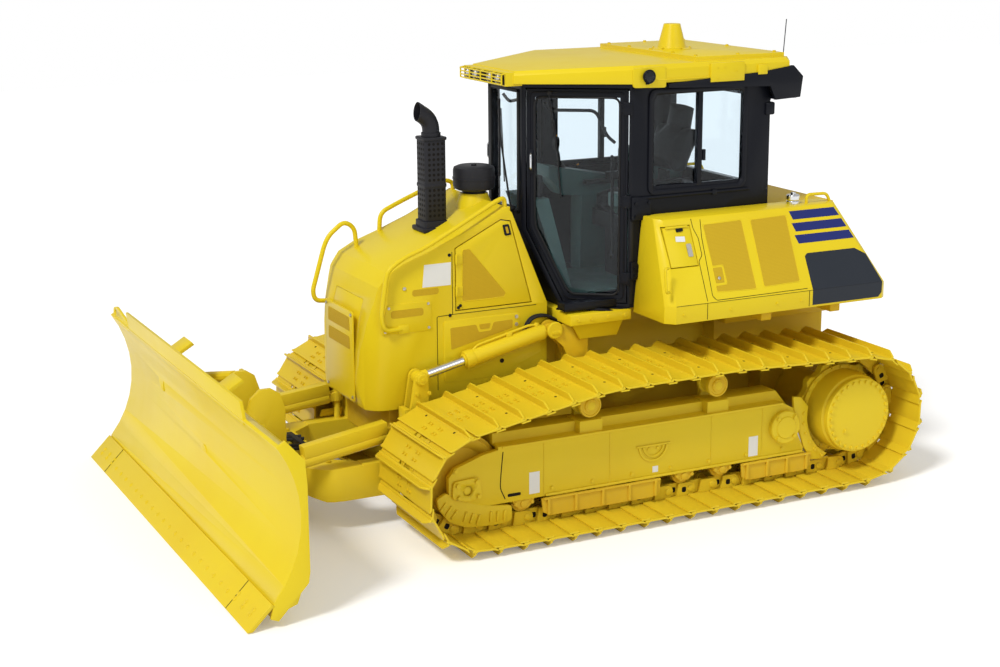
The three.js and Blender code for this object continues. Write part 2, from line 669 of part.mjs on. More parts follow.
function cabDoor() {
  const leaf = prismOnDoor(doorOutline(0), DOOR.thickness, 0);
  const pane = prismOnDoor(doorOutline(DOOR_LEAF.stile), DOOR.thickness + 10, 10);
  const { length, ux, uy } = DOOR_PLANE;
  const axisU = length - DOOR.knuckleRadius + 2;
  const axisX = CAB.frontHalfWidth + ux * axisU + uy * DOOR.knuckleOut;
  const axisY = CAB.frontY + uy * axisU - ux * DOOR.knuckleOut;
  const hinges = HINGE_ZS.flatMap((z) => {
    const strap = (from, to) => [[axisU - from, z], [axisU - to, z], [axisU - to, z + 90], [axisU - from, z + 90]];
    return [
      bar([axisX, axisY, z], [axisX, axisY, z + 90], DOOR.knuckleRadius, 12),
      prismOnDoor(strap(54, 0), -4, 14),
      prismOnDoor(strap(54, 30), 10, 14),
    ];
  });
  return join(cut(leaf, pane), ...hinges);
}

function doorGlass() {
  return prismOnDoor(doorOutline(DOOR_LEAF.stile + 0.6), 24 + DOOR.glass, -24);
}

function windshield() {
  return box(-215.5, 215.5, CAB.frontY + 20, CAB.frontY + 28, 2080.5, 2929.5);
}

function sideWindow() {
  return box(CAB.halfWidth - 30, CAB.halfWidth - 22, 762.5, 1559.5, 2215.5, 2934.5);
}

function rearWindow() {
  return box(-559.5, 559.5, CAB.rearY - 30, CAB.rearY - 22, 2200.5, 2899.5);
}

function cabRoof() {
  const { bottom, top, plateTop, domeTop, rearY } = ROOF;
  const eave = bothSides([[350, -130], [775, 590], [775, rearY - 60], [690, rearY]]);
  const ridge = bothSides([[330, -120], [745, 600], [745, rearY - 70], [670, rearY - 10]]);
  const slab = hull([
    ...eave.map(([x, y]) => [x, y, bottom]),
    ...eave.map(([x, y]) => [x, y, y < 0 ? 3060 : top - 30]),
    ...ridge.map(([x, y]) => [x, y, y < 0 ? 3090 : top]),
  ]);
  const lampBox = box(-340, 340, -190, -60, 2985, 3082);
  const cabTop = box(-800, 800, CAB.frontY - 4, CAB.rearY + 4, 2900, bottom);
  const plate = box(-690, 690, 1150, rearY - 50, top - 10, plateTop);
  const dome = bar([0, 1375, plateTop - 5], [0, 1375, domeTop], 112, 28, 62);
  return join(cut(join(slab, lampBox), cabTop), plate, dome);
}

function rearRoofBox() {
  const y0 = CAB.rearY + GAP;
  return hull([
    ...[-690, 690].flatMap((x) => [[x, y0, 2860], [x, y0, ROOF.bottom - GAP], [x, ROOF.rearY + 60, 2900]]),
    ...[-660, 660].map((x) => [x, ROOF.rearY + 20, ROOF.bottom - GAP]),
  ]);
}

const SEAT = { frontY: 850, rearY: 1295, halfWidth: 235, panTop: 1950, cushionTop: 2080, headTop: 2745 };

function seatBase() {
  const { frontY, rearY, halfWidth, panTop } = SEAT;
  const armOuter = halfWidth + 65;
  const arms = [[-armOuter, -armOuter + 45], [armOuter - 45, armOuter]].map(([a, b]) => join(
    box(a, b, frontY + 130, rearY + 10, panTop + 210, panTop + 270),
    box(a, b, rearY - 110, rearY - 30, panTop - 70, panTop + 220),
  ));
  return join(
    box(-170, 170, frontY + 60, rearY - 60, CAB.floor + CAB.wall + 15, 1830),
    box(-armOuter, armOuter, frontY + 20, rearY + 20, 1820, panTop),
    box(-60, 60, rearY + 10, rearY + 50, panTop - 60, panTop + 300),
    ...arms,
  );
}

function seatCushion() {
  const { frontY, rearY, halfWidth, panTop, cushionTop } = SEAT;
  return box(-halfWidth, halfWidth, frontY, rearY - 20, panTop + GAP, cushionTop);
}

function seatBackrest() {
  const { rearY, halfWidth, panTop, headTop } = SEAT;
  const foot = panTop + 315;
  const back = [[rearY - 30, foot], [rearY + 75, foot], [rearY + 215, headTop - 190], [rearY + 110, headTop - 170]];
  const head = [[rearY + 112, headTop - 195], [rearY + 200, headTop - 195], [rearY + 225, headTop - 20], [rearY + 150, headTop]];
  return join(prismX(back, -halfWidth, halfWidth), prismX(head, -halfWidth / 2, halfWidth / 2));
}

// A pod on a leg beside the seat, its top sloping down to the rear.
function sidePod(inner, outer, frontY, rearY, frontZ, rearZ) {
  const floorTop = CAB.floor + CAB.wall + 1;
  const pod = hull([inner, outer].flatMap((x) => [
    [x, frontY, frontZ - 90], [x, frontY, frontZ], [x, rearY, rearZ], [x, rearY, rearZ - 150], [x, frontY + 120, frontZ - 230],
  ]));
  const leg = hull([[inner + 20, floorTop], [inner, rearZ - 100]].flatMap(([x, z]) => [
    [x, rearY - 320, z], [x, rearY - 40, z], [outer - 30, rearY - 320, z], [outer - 30, rearY - 40, z],
  ]));
  return join(pod, leg);
}

function cabConsole() {
  const floorTop = CAB.floor + CAB.wall;
  const mat = box(-400, 400, 330, 1240, floorTop + GAP, floorTop + 14);
  const right = mirrored(sidePod(345, 545, 519, 1120, 2286, 2170));
  const left = sidePod(345, 545, 640, 1120, 2180, 2150);
  const dash = hull([
    ...[[-200, 340], [200, 340], [200, 420], [-200, 420]].map(([x, y]) => [x, y, floorTop + 1]),
    ...[[-230, 90], [230, 90], [230, 210], [-230, 210]].map(([x, y]) => [x, y, 2150]),
  ]);
  return join(mat, right, left, dash);
}

function cabDeck() {
  const { halfWidth, frontY, rearY, bottom, top } = DECK;
  const slab = box(-halfWidth, halfWidth, frontY, rearY, bottom, top);
  const skirts = [-1, 1].map((s) => {
    const [a, b] = [s * (ARM.outer + 5), s * (ARM.outer + 25)].sort((p, q) => p - q);
    return prismX([[180, bottom + 5], [250, 1180], [560, 1180], [620, bottom + 5]], a, b);
  });
  return join(slab, ...skirts);
}

// ---------------------------------------------------------------- rear

function sideBoxSolid() {
  const { innerX, outerX, topX, bottom, band, top, frontY, rearY, topRearY } = SIDE_BOX;
  return hull([
    [innerX, frontY, bottom], [outerX - 60, frontY, bottom], [outerX, frontY + 60, bottom],
    [outerX - 60, frontY, band], [outerX, frontY + 60, band],
    [innerX, frontY + 60, top], [topX - 50, frontY + 60, top], [topX, frontY + 110, top - 8],
    [innerX, rearY, bottom], [outerX - 30, rearY, bottom], [outerX, rearY - 40, bottom],
    [innerX, rearY, band - 10], [outerX - 30, rearY, band - 10], [outerX, rearY - 40, band],
    [innerX, topRearY, top], [topX - 20, topRearY, top], [topX, topRearY - 30, top - 8],
  ]);
}

// The leaning side face: x at a height.
function sideFaceX(z) {
  const { outerX, topX, band, top } = SIDE_BOX;
  return outerX + ((topX - outerX) * (z - band)) / (top - 8 - band);
}

function hatchBlock(gap, depth, outward) {
  const { frontY, rearY, low, high } = HATCH;
  const corner = (z, shift) => sideFaceX(z) + shift;
  return hull([frontY - gap, rearY + gap].flatMap((y) => [low - gap, high + gap].flatMap((z) => [
    [corner(z, outward), y, z], [corner(z, -depth), y, z],
  ])));
}

function sideBoxWithHatch() {
  return cut(sideBoxSolid(), hatchBlock(DOOR_GAP, HATCH.thickness + 40, 60));
}

function sideHatch() {
  const { frontY, rearY, high } = HATCH;
  const leaf = hatchBlock(0, HATCH.thickness, -2);
  const x = sideFaceX(high) + 4;
  const hinge = bar([x, frontY + 20, high], [x, rearY - 20, high], 9, 12);
  return join(leaf, hinge);
}

function radiatorHousing() {
  const { halfWidth, frontY, rearY, bottom, top, wall, coreRearY, armYs } = COOLER;
  const shell = cut(
    box(-halfWidth, halfWidth, frontY, rearY, bottom, top),
    box(-halfWidth + wall, halfWidth - wall, coreRearY, rearY + 20, bottom + wall, top - wall),
  );
  const arms = [-1, 1].flatMap((s) => armYs.map((y) => {
    const [a, b] = [s * (halfWidth - 10), s * (SIDE_BOX.outerX - 80)].sort((p, q) => p - q);
    return box(a, b, y, y + 90, 1285, SIDE_BOX.bottom - GAP);
  }));
  return join(shell, ...arms);
}

function rearGrille() {
  const { halfWidth, bottom, top, thickness } = GRILLE;
  const y0 = COOLER.rearY + SWING_GAP;
  const panel = box(-halfWidth, halfWidth, y0, y0 + thickness, bottom, top);
  const window = box(-halfWidth + 70, halfWidth - 70, y0 - 10, y0 + thickness + 10, bottom + 70, top - 70);
  const slats = Array.from({ length: 7 }, (_, i) => {
    const z = bottom + 115 + i * 108;
    return box(-halfWidth + 60, halfWidth - 60, y0 + 6, y0 + 22, z, z + 20);
  });
  const spider = [
    box(-30, 30, y0 + 4, y0 + 20, bottom + 60, top - 60),
    bar([0, y0 + 15, FAN.z], [0, FAN.y + 60, FAN.z], 85, 12),
  ];
  const hinge = barX(-halfWidth + 40, halfWidth - 40, y0 + thickness / 2, top + 8, 16, 12);
  return join(cut(panel, window), ...slats, ...spider, hinge);
}

function coolingFan() {
  const { radius, blades, y, z } = FAN;
  const hub = bar([0, y - 30, z], [0, y + 50, z], 95, 16);
  const vanes = Array.from({ length: blades }, (_, i) => {
    const vane = box(-55, 55, -5, 5, 80, radius);
    vane.rotateZ(0.55);
    vane.rotateY((2 * Math.PI * i) / blades);
    return vane.translate(0, y + 5, z);
  });
  return join(hub, ...vanes);
}

// ---------------------------------------------------------------- blade and its gear

// Two plates on the arm that hold the lift rod's eye; the pin shows only as its heads.
function liftTower() {
  const { inner, outer, top } = ARM;
  const { eye } = LIFT;
  const room = LIFT.rodRadius + 6;
  const outline = [
    [eye.y - 130, top - 20], [eye.y + 50, top - 20], ...arcPoints(eye.y, eye.z, 52, 0, 180, 8), [eye.y - 90, 800],
  ];
  const plates = [[inner, LIFT.x - room], [LIFT.x + room, outer]].map(([a, b]) => prismX(outline, a, b));
  const web = box(inner + 5, outer - 5, eye.y - 128, eye.y - 90, top - 20, 830);
  const head = barX(outer - 5, outer + PIN_HEAD.height, eye.y, eye.z, PIN_HEAD.radius, 12);
  return join(...plates, web, head);
}

function cFrame() {
  const { inner, outer, top, bottom, noseY, frontY } = ARM;
  const armSide = [
    ...arcPoints(TRUNNION.y, TRUNNION.z, TRUNNION.armRadius, -80, 95, 10),
    [-150, top + 5], [noseY, top], [noseY, bottom], [-900, bottom], [-300, 300],
  ];
  const arms = [prismX(armSide, inner, outer), prismX(armSide, -outer, -inner)];
  const innerCorner = inner - 120;
  const nosePlan = [
    [outer, noseY], ...arcPoints(outer - 260, frontY + 260, 260, 0, -90, 5),
    ...arcPoints(-outer + 260, frontY + 260, 260, -90, -180, 5), [-outer, noseY],
    [-inner, noseY], [-innerCorner, noseY - 150], [innerCorner, noseY - 150], [inner, noseY],
  ];
  const nose = prismZ(nosePlan.reverse(), bottom, top);
  const chin = overlapOf(nose, prismX([
    [noseY + 5, bottom - 5], [frontY + 150, bottom - 5], [frontY - 5, bottom + 50], [frontY - 5, top - 5], [noseY + 5, top - 5],
  ].reverse(), -700, 700));
  const ball = new THREE.SphereGeometry(SWIVEL.ballRadius - 12, 14, 10).translate(0, SWIVEL.y, 345);
  const stud = bar([0, frontY + 20, 345], [0, SWIVEL.y - 10, 345], 40, 12);
  const tower = liftTower();
  const post = bar([ANGLE.x, ANGLE.pin.y, top - 10], [ANGLE.x, ANGLE.pin.y, ANGLE.pin.z + 60], 24, 12);
  const bores = [-1, 1].map((s) => barX(
    s > 0 ? inner - 10 : -outer - 10, s > 0 ? outer + 10 : -inner + 10,
    TRUNNION.y, TRUNNION.z, TRUNNION.pinRadius + PIN_PLAY, 24,
  ));
  return cut(join(...arms, chin, ball, stud, tower, mirrored(tower), post, mirrored(post)), ...bores);
}

// A cylinder barrel along -Y from its pin eye at the origin, with the bore that takes the rod.
function barrel(length, radius, rodRadius, eyeWidth, eyeBore) {
  const body = bar([0, -60, 0], [0, -length, 0], radius, 12);
  const gland = bar([0, -length + 40, 0], [0, -length - 20, 0], radius + 5, 12);
  const eye = barX(-eyeWidth / 2, eyeWidth / 2, 0, 0, 46, 12);
  const neck = box(-eyeWidth / 2, eyeWidth / 2, -80, 0, -36, 36);
  const bore = bar([0, -100, 0], [0, -length - 40, 0], rodRadius + PIN_PLAY, 12);
  const pinHole = barX(-eyeWidth, eyeWidth, 0, 0, eyeBore + PIN_PLAY, 12);
  return cut(join(body, gland, eye, neck), bore, pinHole);
}

// A rod along -Y that ends in an eye at distance reach; the eye holds its own pin.
function rod(reach, start, radius, eyeWidth) {
  const shaft = bar([0, -start, 0], [0, -reach + 30, 0], radius, 12);
  const eye = barX(-eyeWidth / 2, eyeWidth / 2, -reach, 0, 46, 12);
  return join(shaft, eye);
}

const LIFT_REACH = Math.hypot(LIFT.eye.y - LIFT.pin.y, LIFT.eye.z - LIFT.pin.z);
const LIFT_SLOPE = Math.atan2(LIFT.pin.z - LIFT.eye.z, LIFT.pin.y - LIFT.eye.y);

function liftBarrel() {
  return barrel(LIFT.gland, LIFT.barrelRadius, LIFT.rodRadius, 62, PIN_RADIUS);
}

function liftRod() {
  return rod(LIFT_REACH, LIFT.rodStart, LIFT.rodRadius, 58);
}

const ANGLE_RUN = new THREE.Vector3(ANGLE.eye.x - ANGLE.x, ANGLE.eye.y - ANGLE.pin.y, ANGLE.eye.z - ANGLE.pin.z);
const ANGLE_TIP = Math.atan2(-ANGLE_RUN.z, Math.hypot(ANGLE_RUN.x, ANGLE_RUN.y));

// The angle cylinder turns on an upright post, so its eye lies flat.
function angleBarrel() {
  const radius = ANGLE.barrelRadius;
  const body = bar([0, -70, 0], [0, -ANGLE.barrel, 0], radius, 16);
  const eye = bar([0, 0, -34], [0, 0, 34], 44, 12);
  const neck = box(-34, 34, -90, -10, -30, 30);
  const cover = box(-40, 40, -ANGLE.barrel + 10, -60, radius - 18, radius + 66);
  const bore = bar([0, -110, 0], [0, -ANGLE.barrel - 30, 0], 30 + PIN_PLAY, 12);
  const hole = bar([0, 0, -60], [0, 0, 60], 24 + 2 * PIN_PLAY, 12).rotateX(-ANGLE_TIP);
  return cut(join(body, eye, neck, cover), bore, hole);
}

function angleRod() {
  const reach = ANGLE_RUN.length();
  const shaft = bar([0, -ANGLE.rodStart, 0], [0, -reach + 20, 0], 30, 12);
  const eye = bar([0, -reach, -32], [0, -reach, 32], 44, 12);
  return join(shaft, eye);
}

const TILT_RUN = new THREE.Vector3(TILT.to.x - TILT.from.x, TILT.to.y - TILT.from.y, TILT.to.z - TILT.from.z);
const TILT_EYE = { radius: 42, half: 26, pin: 20, room: 24 };

// A ring round a pin that lies along Y.
function tiltEye({ x, y, z }) {
  return bar([x, y - TILT_EYE.half, z], [x, y + TILT_EYE.half, z], TILT_EYE.radius, 12);
}

function tiltPinHole({ x, y, z }) {
  return bar([x, y - 60, z], [x, y + 60, z], TILT_EYE.pin + PIN_PLAY, 12);
}

// A point part of the way from the tilt cylinder's fixed pin to the blade's pin.
function alongTilt(share) {
  const place = new THREE.Vector3(TILT.from.x, TILT.from.y, TILT.from.z).addScaledVector(TILT_RUN, share);
  return place.toArray();
}

function tiltBarrel() {
  const body = bar(alongTilt(0.05), alongTilt(0.62), 44, 12);
  const bore = bar(alongTilt(0.12), alongTilt(0.66), 26 + PIN_PLAY, 12);
  return cut(join(body, tiltEye(TILT.from)), bore, tiltPinHole(TILT.from));
}

function tiltRod() {
  const shaft = bar(alongTilt(0.3), alongTilt(0.97), 26, 12);
  return join(shaft, tiltEye(TILT.to));
}

// A channel that reaches out from a cheek and holds the angle rod's eye between its flanges.
function angleWing(innerX) {
  const { x, y, z } = ANGLE.eye;
  const tipX = x + 70;
  const frontY = y - 77;
  const room = 58;
  const flange = 20;
  const plan = [
    [innerX, frontY], [tipX, frontY], [tipX, y + 35], [x - 70, y + 35], [innerX + 60, y + 105], [innerX, y + 105],
  ];
  const flanges = [z - room - flange, z + room].map((low) => prismZ(plan, low, low + flange));
  const web = box(innerX, x - 90, frontY, frontY + 18, z - room - flange, z + room + flange);
  const heads = [
    bar([x, y, z + room + flange - 2], [x, y, z + room + flange + PIN_HEAD.height], PIN_HEAD.radius - 10, 12),
    bar([x, y, z - room - flange - PIN_HEAD.height], [x, y, z - room - flange + 2], PIN_HEAD.radius - 10, 12),
  ];
  return join(...flanges, web, ...heads);
}

function bladeSwivel() {
  const { y, ballRadius, cheekLeft, cheekRight, thickness, top } = SWIVEL;
  const cheek = [
    [y - 230, 280], [y - 40, 280], [y - 40, ARM.top + 20], [y + 95, ARM.top + 20], [y + 95, top - 150],
    [y + 60, top - 40], [y, top], [y - 80, top],
    [y - 150, top - 60], [y - 230, top - 330],
  ];
  const cheeks = [
    prismX([...cheek].reverse(), cheekLeft, cheekLeft + thickness),
    prismX([...cheek].reverse(), cheekRight - thickness, cheekRight),
  ];
  const ties = [
    box(cheekRight, cheekLeft, y - 225, y - 150, 420, 760),
    box(cheekRight, cheekLeft, y - 225, y - 100, 280, 320),
  ];
  const socket = bar([0, y, 250], [0, y, 440], ballRadius + 30, 16);
  const socketArm = box(-60, 60, y - 200, y - 60, 290, 420);
  const ballRoom = new THREE.SphereGeometry(ballRadius, 14, 10).translate(0, y, 345);
  const studRoom = hull([-1, 1].flatMap((s) => [
    [s * 62, y + 20, 285], [s * 62, y + 20, 405], [s * 150, y + 160, 270], [s * 150, y + 160, 420],
  ]));
  const { from } = TILT;
  const pinPlate = box(from.x - 45, cheekRight - thickness + 6, from.y + 32, from.y + 56, from.z - 42, from.z + 42);
  const pin = bar([from.x, from.y + 40, from.z], [from.x, from.y - 30, from.z], TILT_EYE.pin, 12);
  const wings = [angleWing(cheekLeft + 5), mirrored(angleWing(-cheekRight + 5))];
  return cut(join(...cheeks, ...ties, ...wings, socket, socketArm, pinPlate, pin), ballRoom, studRoom);
}

// The cutting edge leans back at 45 degrees from its tip.
const EDGE_RISE = 159;
const EDGE_STEP = BLADE.edgeThickness * Math.SQRT1_2;
const EDGE_OUTLINE = [
  [BLADE.tipY, BLADE.tipZ],
  [BLADE.tipY + 2 * EDGE_STEP, BLADE.tipZ],
  [BLADE.tipY + EDGE_RISE + EDGE_STEP, BLADE.tipZ + EDGE_RISE - EDGE_STEP],
  [BLADE.tipY + EDGE_RISE, BLADE.tipZ + EDGE_RISE],
];

// The moldboard's front curve, from the bottom edge up.
function bladeCurve(offset) {
  const radius = 803;
  const centreY = BLADE.tipY + 364 - radius;
  const from = THREE.MathUtils.radToDeg(Math.asin((165 - 683) / radius));
  const to = THREE.MathUtils.radToDeg(Math.asin((BLADE.topZ - 683) / radius));
  return arcPoints(centreY, 683, radius + offset, from, to, 9);
}

function blade() {
  const half = BLADE.width / 2;
  const front = bladeCurve(0.5);
  const back = bladeCurve(BLADE.plate);
  const skin = prismX([...front, ...back.slice().reverse()], -half + 20, half - 20);
  const lowBack = front[0];
  const foot = [
    [lowBack[0] - 4, lowBack[1] - 10], [BLADE.tipY + 160, BLADE.tipZ + 60], [BLADE.tipY + 330, BLADE.tipZ + 120],
    [BLADE.tipY + 395, 300], [BLADE.tipY + 330, 420], [BLADE.tipY + 250, 280],
  ];
  const lowBeam = prismX(foot, -half + 20, half - 20);
  const topCurve = back[back.length - 1];
  const highBeam = prismX([
    [topCurve[0] - 16, topCurve[1] - 12], [topCurve[0] + 60, topCurve[1] - 30], [BLADE.rearY - 10, 1040],
    [BLADE.rearY - 10, 930], [BLADE.tipY + 350, 900],
  ], -half + 20, half - 20);
  const endOutline = [
    ...bladeCurve(0.5), [BLADE.topY + 43, 1169], [BLADE.tipY + 400, 1035], [BLADE.rearY, 880], [BLADE.rearY, 330],
    [BLADE.tipY + 400, 256], [BLADE.tipY + 200, BLADE.tipZ + 40], [BLADE.tipY + 150, BLADE.tipZ + 60],
  ];
  const ends = [-1, 1].map((s) => prismX(endOutline, ...(s > 0 ? [half - 24, half] : [-half, -half + 24])));
  const rib = [...bladeCurve(BLADE.plate / 2), [BLADE.rearY + 10, 950], [BLADE.rearY + 10, 300]];
  const ribs = [-1300, -820, -560, 560, 820, 1300].map((x) => prismX(rib, x - 12, x + 12));
  const spillRoot = topCurve[0] - BLADE.plate / 2;
  const spill = prismX([
    [spillRoot, BLADE.topZ - 30], [spillRoot + 24, BLADE.topZ - 30], [spillRoot - 2, BLADE.spillTop],
    [spillRoot - 22, BLADE.spillTop],
  ], -BLADE.spillHalfWidth, BLADE.spillHalfWidth - 100);
  const { to } = TILT;
  const lugRear = to.y - TILT_EYE.half - TILT_EYE.room;
  const tiltLug = box(to.x - 60, to.x + 60, BLADE.rearY - 60, lugRear, to.z - 60, to.z + 60);
  const trunnion = bar([0, BLADE.rearY - 60, TILT.axisZ], [0, SWIVEL.y - 235, TILT.axisZ], 70, 16);
  const guards = [-1, 1].map((s) => hull([
    ...[-100, 100].flatMap((d) => [
      [s * 560 + d, -2440, 1125], [s * 560 + d, -2430, 1105], [s * 560 + d, -2290, 1215], [s * 560 + d, -2275, 1195],
    ]),
  ]));
  const ahead = BLADE.tipY - 10;
  const air = [...front, [ahead, front[front.length - 1][1]], [ahead, front[0][1]]];
  const backing = cut(join(lowBeam, highBeam, ...ribs), prismX(air, -half, half));
  const whole = join(skin, backing, ...ends, spill, tiltLug, trunnion, ...guards);
  return cut(whole, prismX(inset(EDGE_OUTLINE, -GAP), -half - 10, half + 10));
}

function cuttingEdge() {
  return prismX(EDGE_OUTLINE, -BLADE.width / 2, BLADE.width / 2);
}

// ---------------------------------------------------------------- assembly

const machine = new THREE.Group();

function place(parent, name, geometry, color, roughness = 0.5, metalness = 0.1) {
  const mesh = new THREE.Mesh(geometry, new THREE.MeshStandardMaterial({ color, roughness, metalness }));
  mesh.name = name;
  parent.add(mesh);
  return mesh;
}

function pair(parent, name, geometry, ...look) {
  place(parent, `${name}_left`, geometry, ...look);
  place(parent, `${name}_right`, mirrored(geometry), ...look);
}

function group(parent, x = 0, y = 0, z = 0) {
  const node = new THREE.Group();
  node.position.set(x, y, z);
  parent.add(node);
  return node;
}

// Undercarriage: one set each side of the machine, built about the chain's middle plane.
for (const [side, s] of [['left', 1], ['right', -1]]) {
  const set = group(machine, s * TRACK_X);
  const sided = (geometry) => (s > 0 ? geometry : mirrored(geometry));
  place(set, `track_${side}`, sided(trackLoop()), YELLOW);
  place(set, `track_frame_${side}`, sided(trackFrame()), YELLOW);
  place(set, `idler_${side}`, sided(idlerWheel()), SHADE_YELLOW);
  place(set, `final_drive_${side}`, sided(finalDrive()), YELLOW);
  place(set, `bottom_rollers_${side}`, sided(rollerGroup()), SHADE_YELLOW);
}

place(machine, 'main_frame', mainFrame(), SHADE_YELLOW);
place(machine, 'equalizer_bar', equalizerBar(), SHADE_YELLOW);
place(machine, 'pivot_shaft', pivotShaft(), SHADE_YELLOW);
place(machine, 'drawbar', drawbar(), SHADE_YELLOW);

place(machine, 'hood', hood(), YELLOW);
place(machine, 'front_grille_panel', grillePanel(), YELLOW);
pair(machine, 'hood_door', hoodDoor(), YELLOW);
place(machine, 'engine_block', engineBlock(), SHADE_YELLOW);
place(machine, 'exhaust_stack', exhaustStack(), BLACK);
place(machine, 'air_precleaner', airPreCleaner(), BLACK);
place(machine, 'hood_rail_left', hoodRailLeft(), YELLOW);
place(machine, 'hood_rail_right', hoodRailRight(), YELLOW);
place(machine, 'front_grab_rail', frontGrabRail(), YELLOW);

place(machine, 'cab_frame', cabFrame(), BLACK);
place(machine, 'cab_roof', cabRoof(), YELLOW);
place(machine, 'rear_roof_box', rearRoofBox(), BLACK);
pair(machine, 'cab_door', cabDoor(), BLACK);
pair(machine, 'door_glass', doorGlass(), GLASS, 0.1);
place(machine, 'windshield', windshield(), GLASS, 0.1);
pair(machine, 'side_window', sideWindow(), GLASS, 0.1);
place(machine, 'rear_window', rearWindow(), GLASS, 0.1);
place(machine, 'seat_base', seatBase(), BLACK);
place(machine, 'seat_cushion', seatCushion(), BLACK);
place(machine, 'seat_backrest', seatBackrest(), BLACK);
place(machine, 'cab_console', cabConsole(), TEAL);
place(machine, 'cab_deck', cabDeck(), YELLOW);

place(machine, 'side_box_left', sideBoxWithHatch(), YELLOW);
place(machine, 'side_box_right', mirrored(sideBoxSolid()), YELLOW);
place(machine, 'side_hatch_left', sideHatch(), YELLOW);
place(machine, 'radiator_housing', radiatorHousing(), SHADE_YELLOW);
place(machine, 'rear_grille', rearGrille(), YELLOW);
place(machine, 'cooling_fan', coolingFan(), BLACK);

place(machine, 'c_frame', cFrame(), YELLOW);
place(machine, 'blade_swivel', bladeSwivel(), YELLOW);
place(machine, 'blade', blade(), YELLOW);
place(machine, 'cutting_edge', cuttingEdge(), YELLOW);

for (const [side, s] of [['left', 1], ['right', -1]]) {
  const lift = group(machine, s * LIFT.x, LIFT.pin.y, LIFT.pin.z);
  lift.rotation.x = LIFT_SLOPE;
  place(lift, `lift_barrel_${side}`, liftBarrel(), YELLOW);
  place(lift, `lift_rod_${side}`, liftRod(), STEEL, 0.2, 0.9);

  const angle = group(machine, s * ANGLE.x, ANGLE.pin.y, ANGLE.pin.z);
  angle.rotation.order = 'ZXY';
  angle.rotation.z = s * Math.atan2(ANGLE_RUN.x, -ANGLE_RUN.y);
  angle.rotation.x = ANGLE_TIP;
  place(angle, `angle_barrel_${side}`, angleBarrel(), YELLOW);
  place(angle, `angle_rod_${side}`, angleRod(), STEEL, 0.2, 0.9);
}

place(machine, 'tilt_barrel', tiltBarrel(), YELLOW);
place(machine, 'tilt_rod', tiltRod(), STEEL, 0.2, 0.9);

export default machine;
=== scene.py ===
"""Looks of a crawler bulldozer: finishes, fine shapes and small parts around its fixed frame.

Metres, +Z up, +X the machine's left, -Y forwards.
"""

import logging
import math
from dataclasses import dataclass
from enum import Enum
from typing import Iterable, Sequence

import bpy
from mathutils import Matrix, Vector


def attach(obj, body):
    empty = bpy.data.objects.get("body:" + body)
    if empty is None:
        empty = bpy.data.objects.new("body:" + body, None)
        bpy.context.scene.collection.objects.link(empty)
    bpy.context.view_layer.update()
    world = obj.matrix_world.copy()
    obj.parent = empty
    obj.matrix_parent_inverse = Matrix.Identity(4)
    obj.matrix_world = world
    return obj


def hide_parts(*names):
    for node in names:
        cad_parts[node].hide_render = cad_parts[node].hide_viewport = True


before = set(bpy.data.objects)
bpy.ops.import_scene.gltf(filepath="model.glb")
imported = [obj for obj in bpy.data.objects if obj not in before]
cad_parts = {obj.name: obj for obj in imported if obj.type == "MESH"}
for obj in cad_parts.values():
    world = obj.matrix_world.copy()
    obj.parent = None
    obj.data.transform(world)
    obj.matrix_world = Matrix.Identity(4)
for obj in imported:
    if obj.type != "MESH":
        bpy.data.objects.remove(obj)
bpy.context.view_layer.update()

LOG = logging.getLogger("bulldozer")

Point = Sequence[float]
Outline = Sequence[Sequence[float]]
Flat = list[tuple[float, float]]
Triple = tuple[float, float, float]
Object = bpy.types.Object
Material = bpy.types.Material
Node = bpy.types.Node
Socket = bpy.types.NodeSocket
Tree = bpy.types.NodeTree


class Side(Enum):
    """A side of the machine, with the sign of its X."""

    LEFT = 1
    RIGHT = -1

    @property
    def word(self) -> str:
        """The side's name in lower case."""
        return self.name.lower()


class Axis(Enum):
    """A main axis of the machine, with its place in a coordinate."""

    X = 0
    Y = 1
    Z = 2

    @property
    def unit(self) -> Vector:
        """The unit vector along the axis."""
        return Vector([1.0 if i == self.value else 0.0 for i in range(3)])


X, Y, Z = Axis


# ---- shaping


def deselect() -> None:
    """Leaves edit mode and selects nothing."""
    if bpy.context.object is not None and bpy.context.object.mode != "OBJECT":
        bpy.ops.object.mode_set(mode="OBJECT")
    bpy.ops.object.select_all(action="DESELECT")


def choose(piece: Object) -> None:
    """Makes a piece the only selected one, and the active one."""
    deselect()
    piece.select_set(True)
    bpy.context.view_layer.objects.active = piece


def edit_all(piece: Object) -> None:
    """Enters edit mode on a piece with all of its mesh selected."""
    choose(piece)
    bpy.ops.object.mode_set(mode="EDIT")
    bpy.ops.mesh.select_all(action="SELECT")


def settle(piece: Object, name: str) -> Object:
    """Names a new piece and puts its place and turn into its mesh.

    Args:
        piece: The piece to settle.
        name: Its new name.

    Returns:
        The same piece.
    """
    choose(piece)
    bpy.ops.object.transform_apply(location=True, rotation=True, scale=True)
    piece.name = name
    piece.data.name = name
    return piece


def smooth(piece: Object, degrees: float = 32.0) -> Object:
    """Shades a piece smooth, apart from edges sharper than an angle.

    Args:
        piece: The piece to shade.
        degrees: The angle past which an edge stays sharp.

    Returns:
        The same piece.
    """
    choose(piece)
    bpy.ops.object.shade_smooth_by_angle(angle=math.radians(degrees))
    return piece


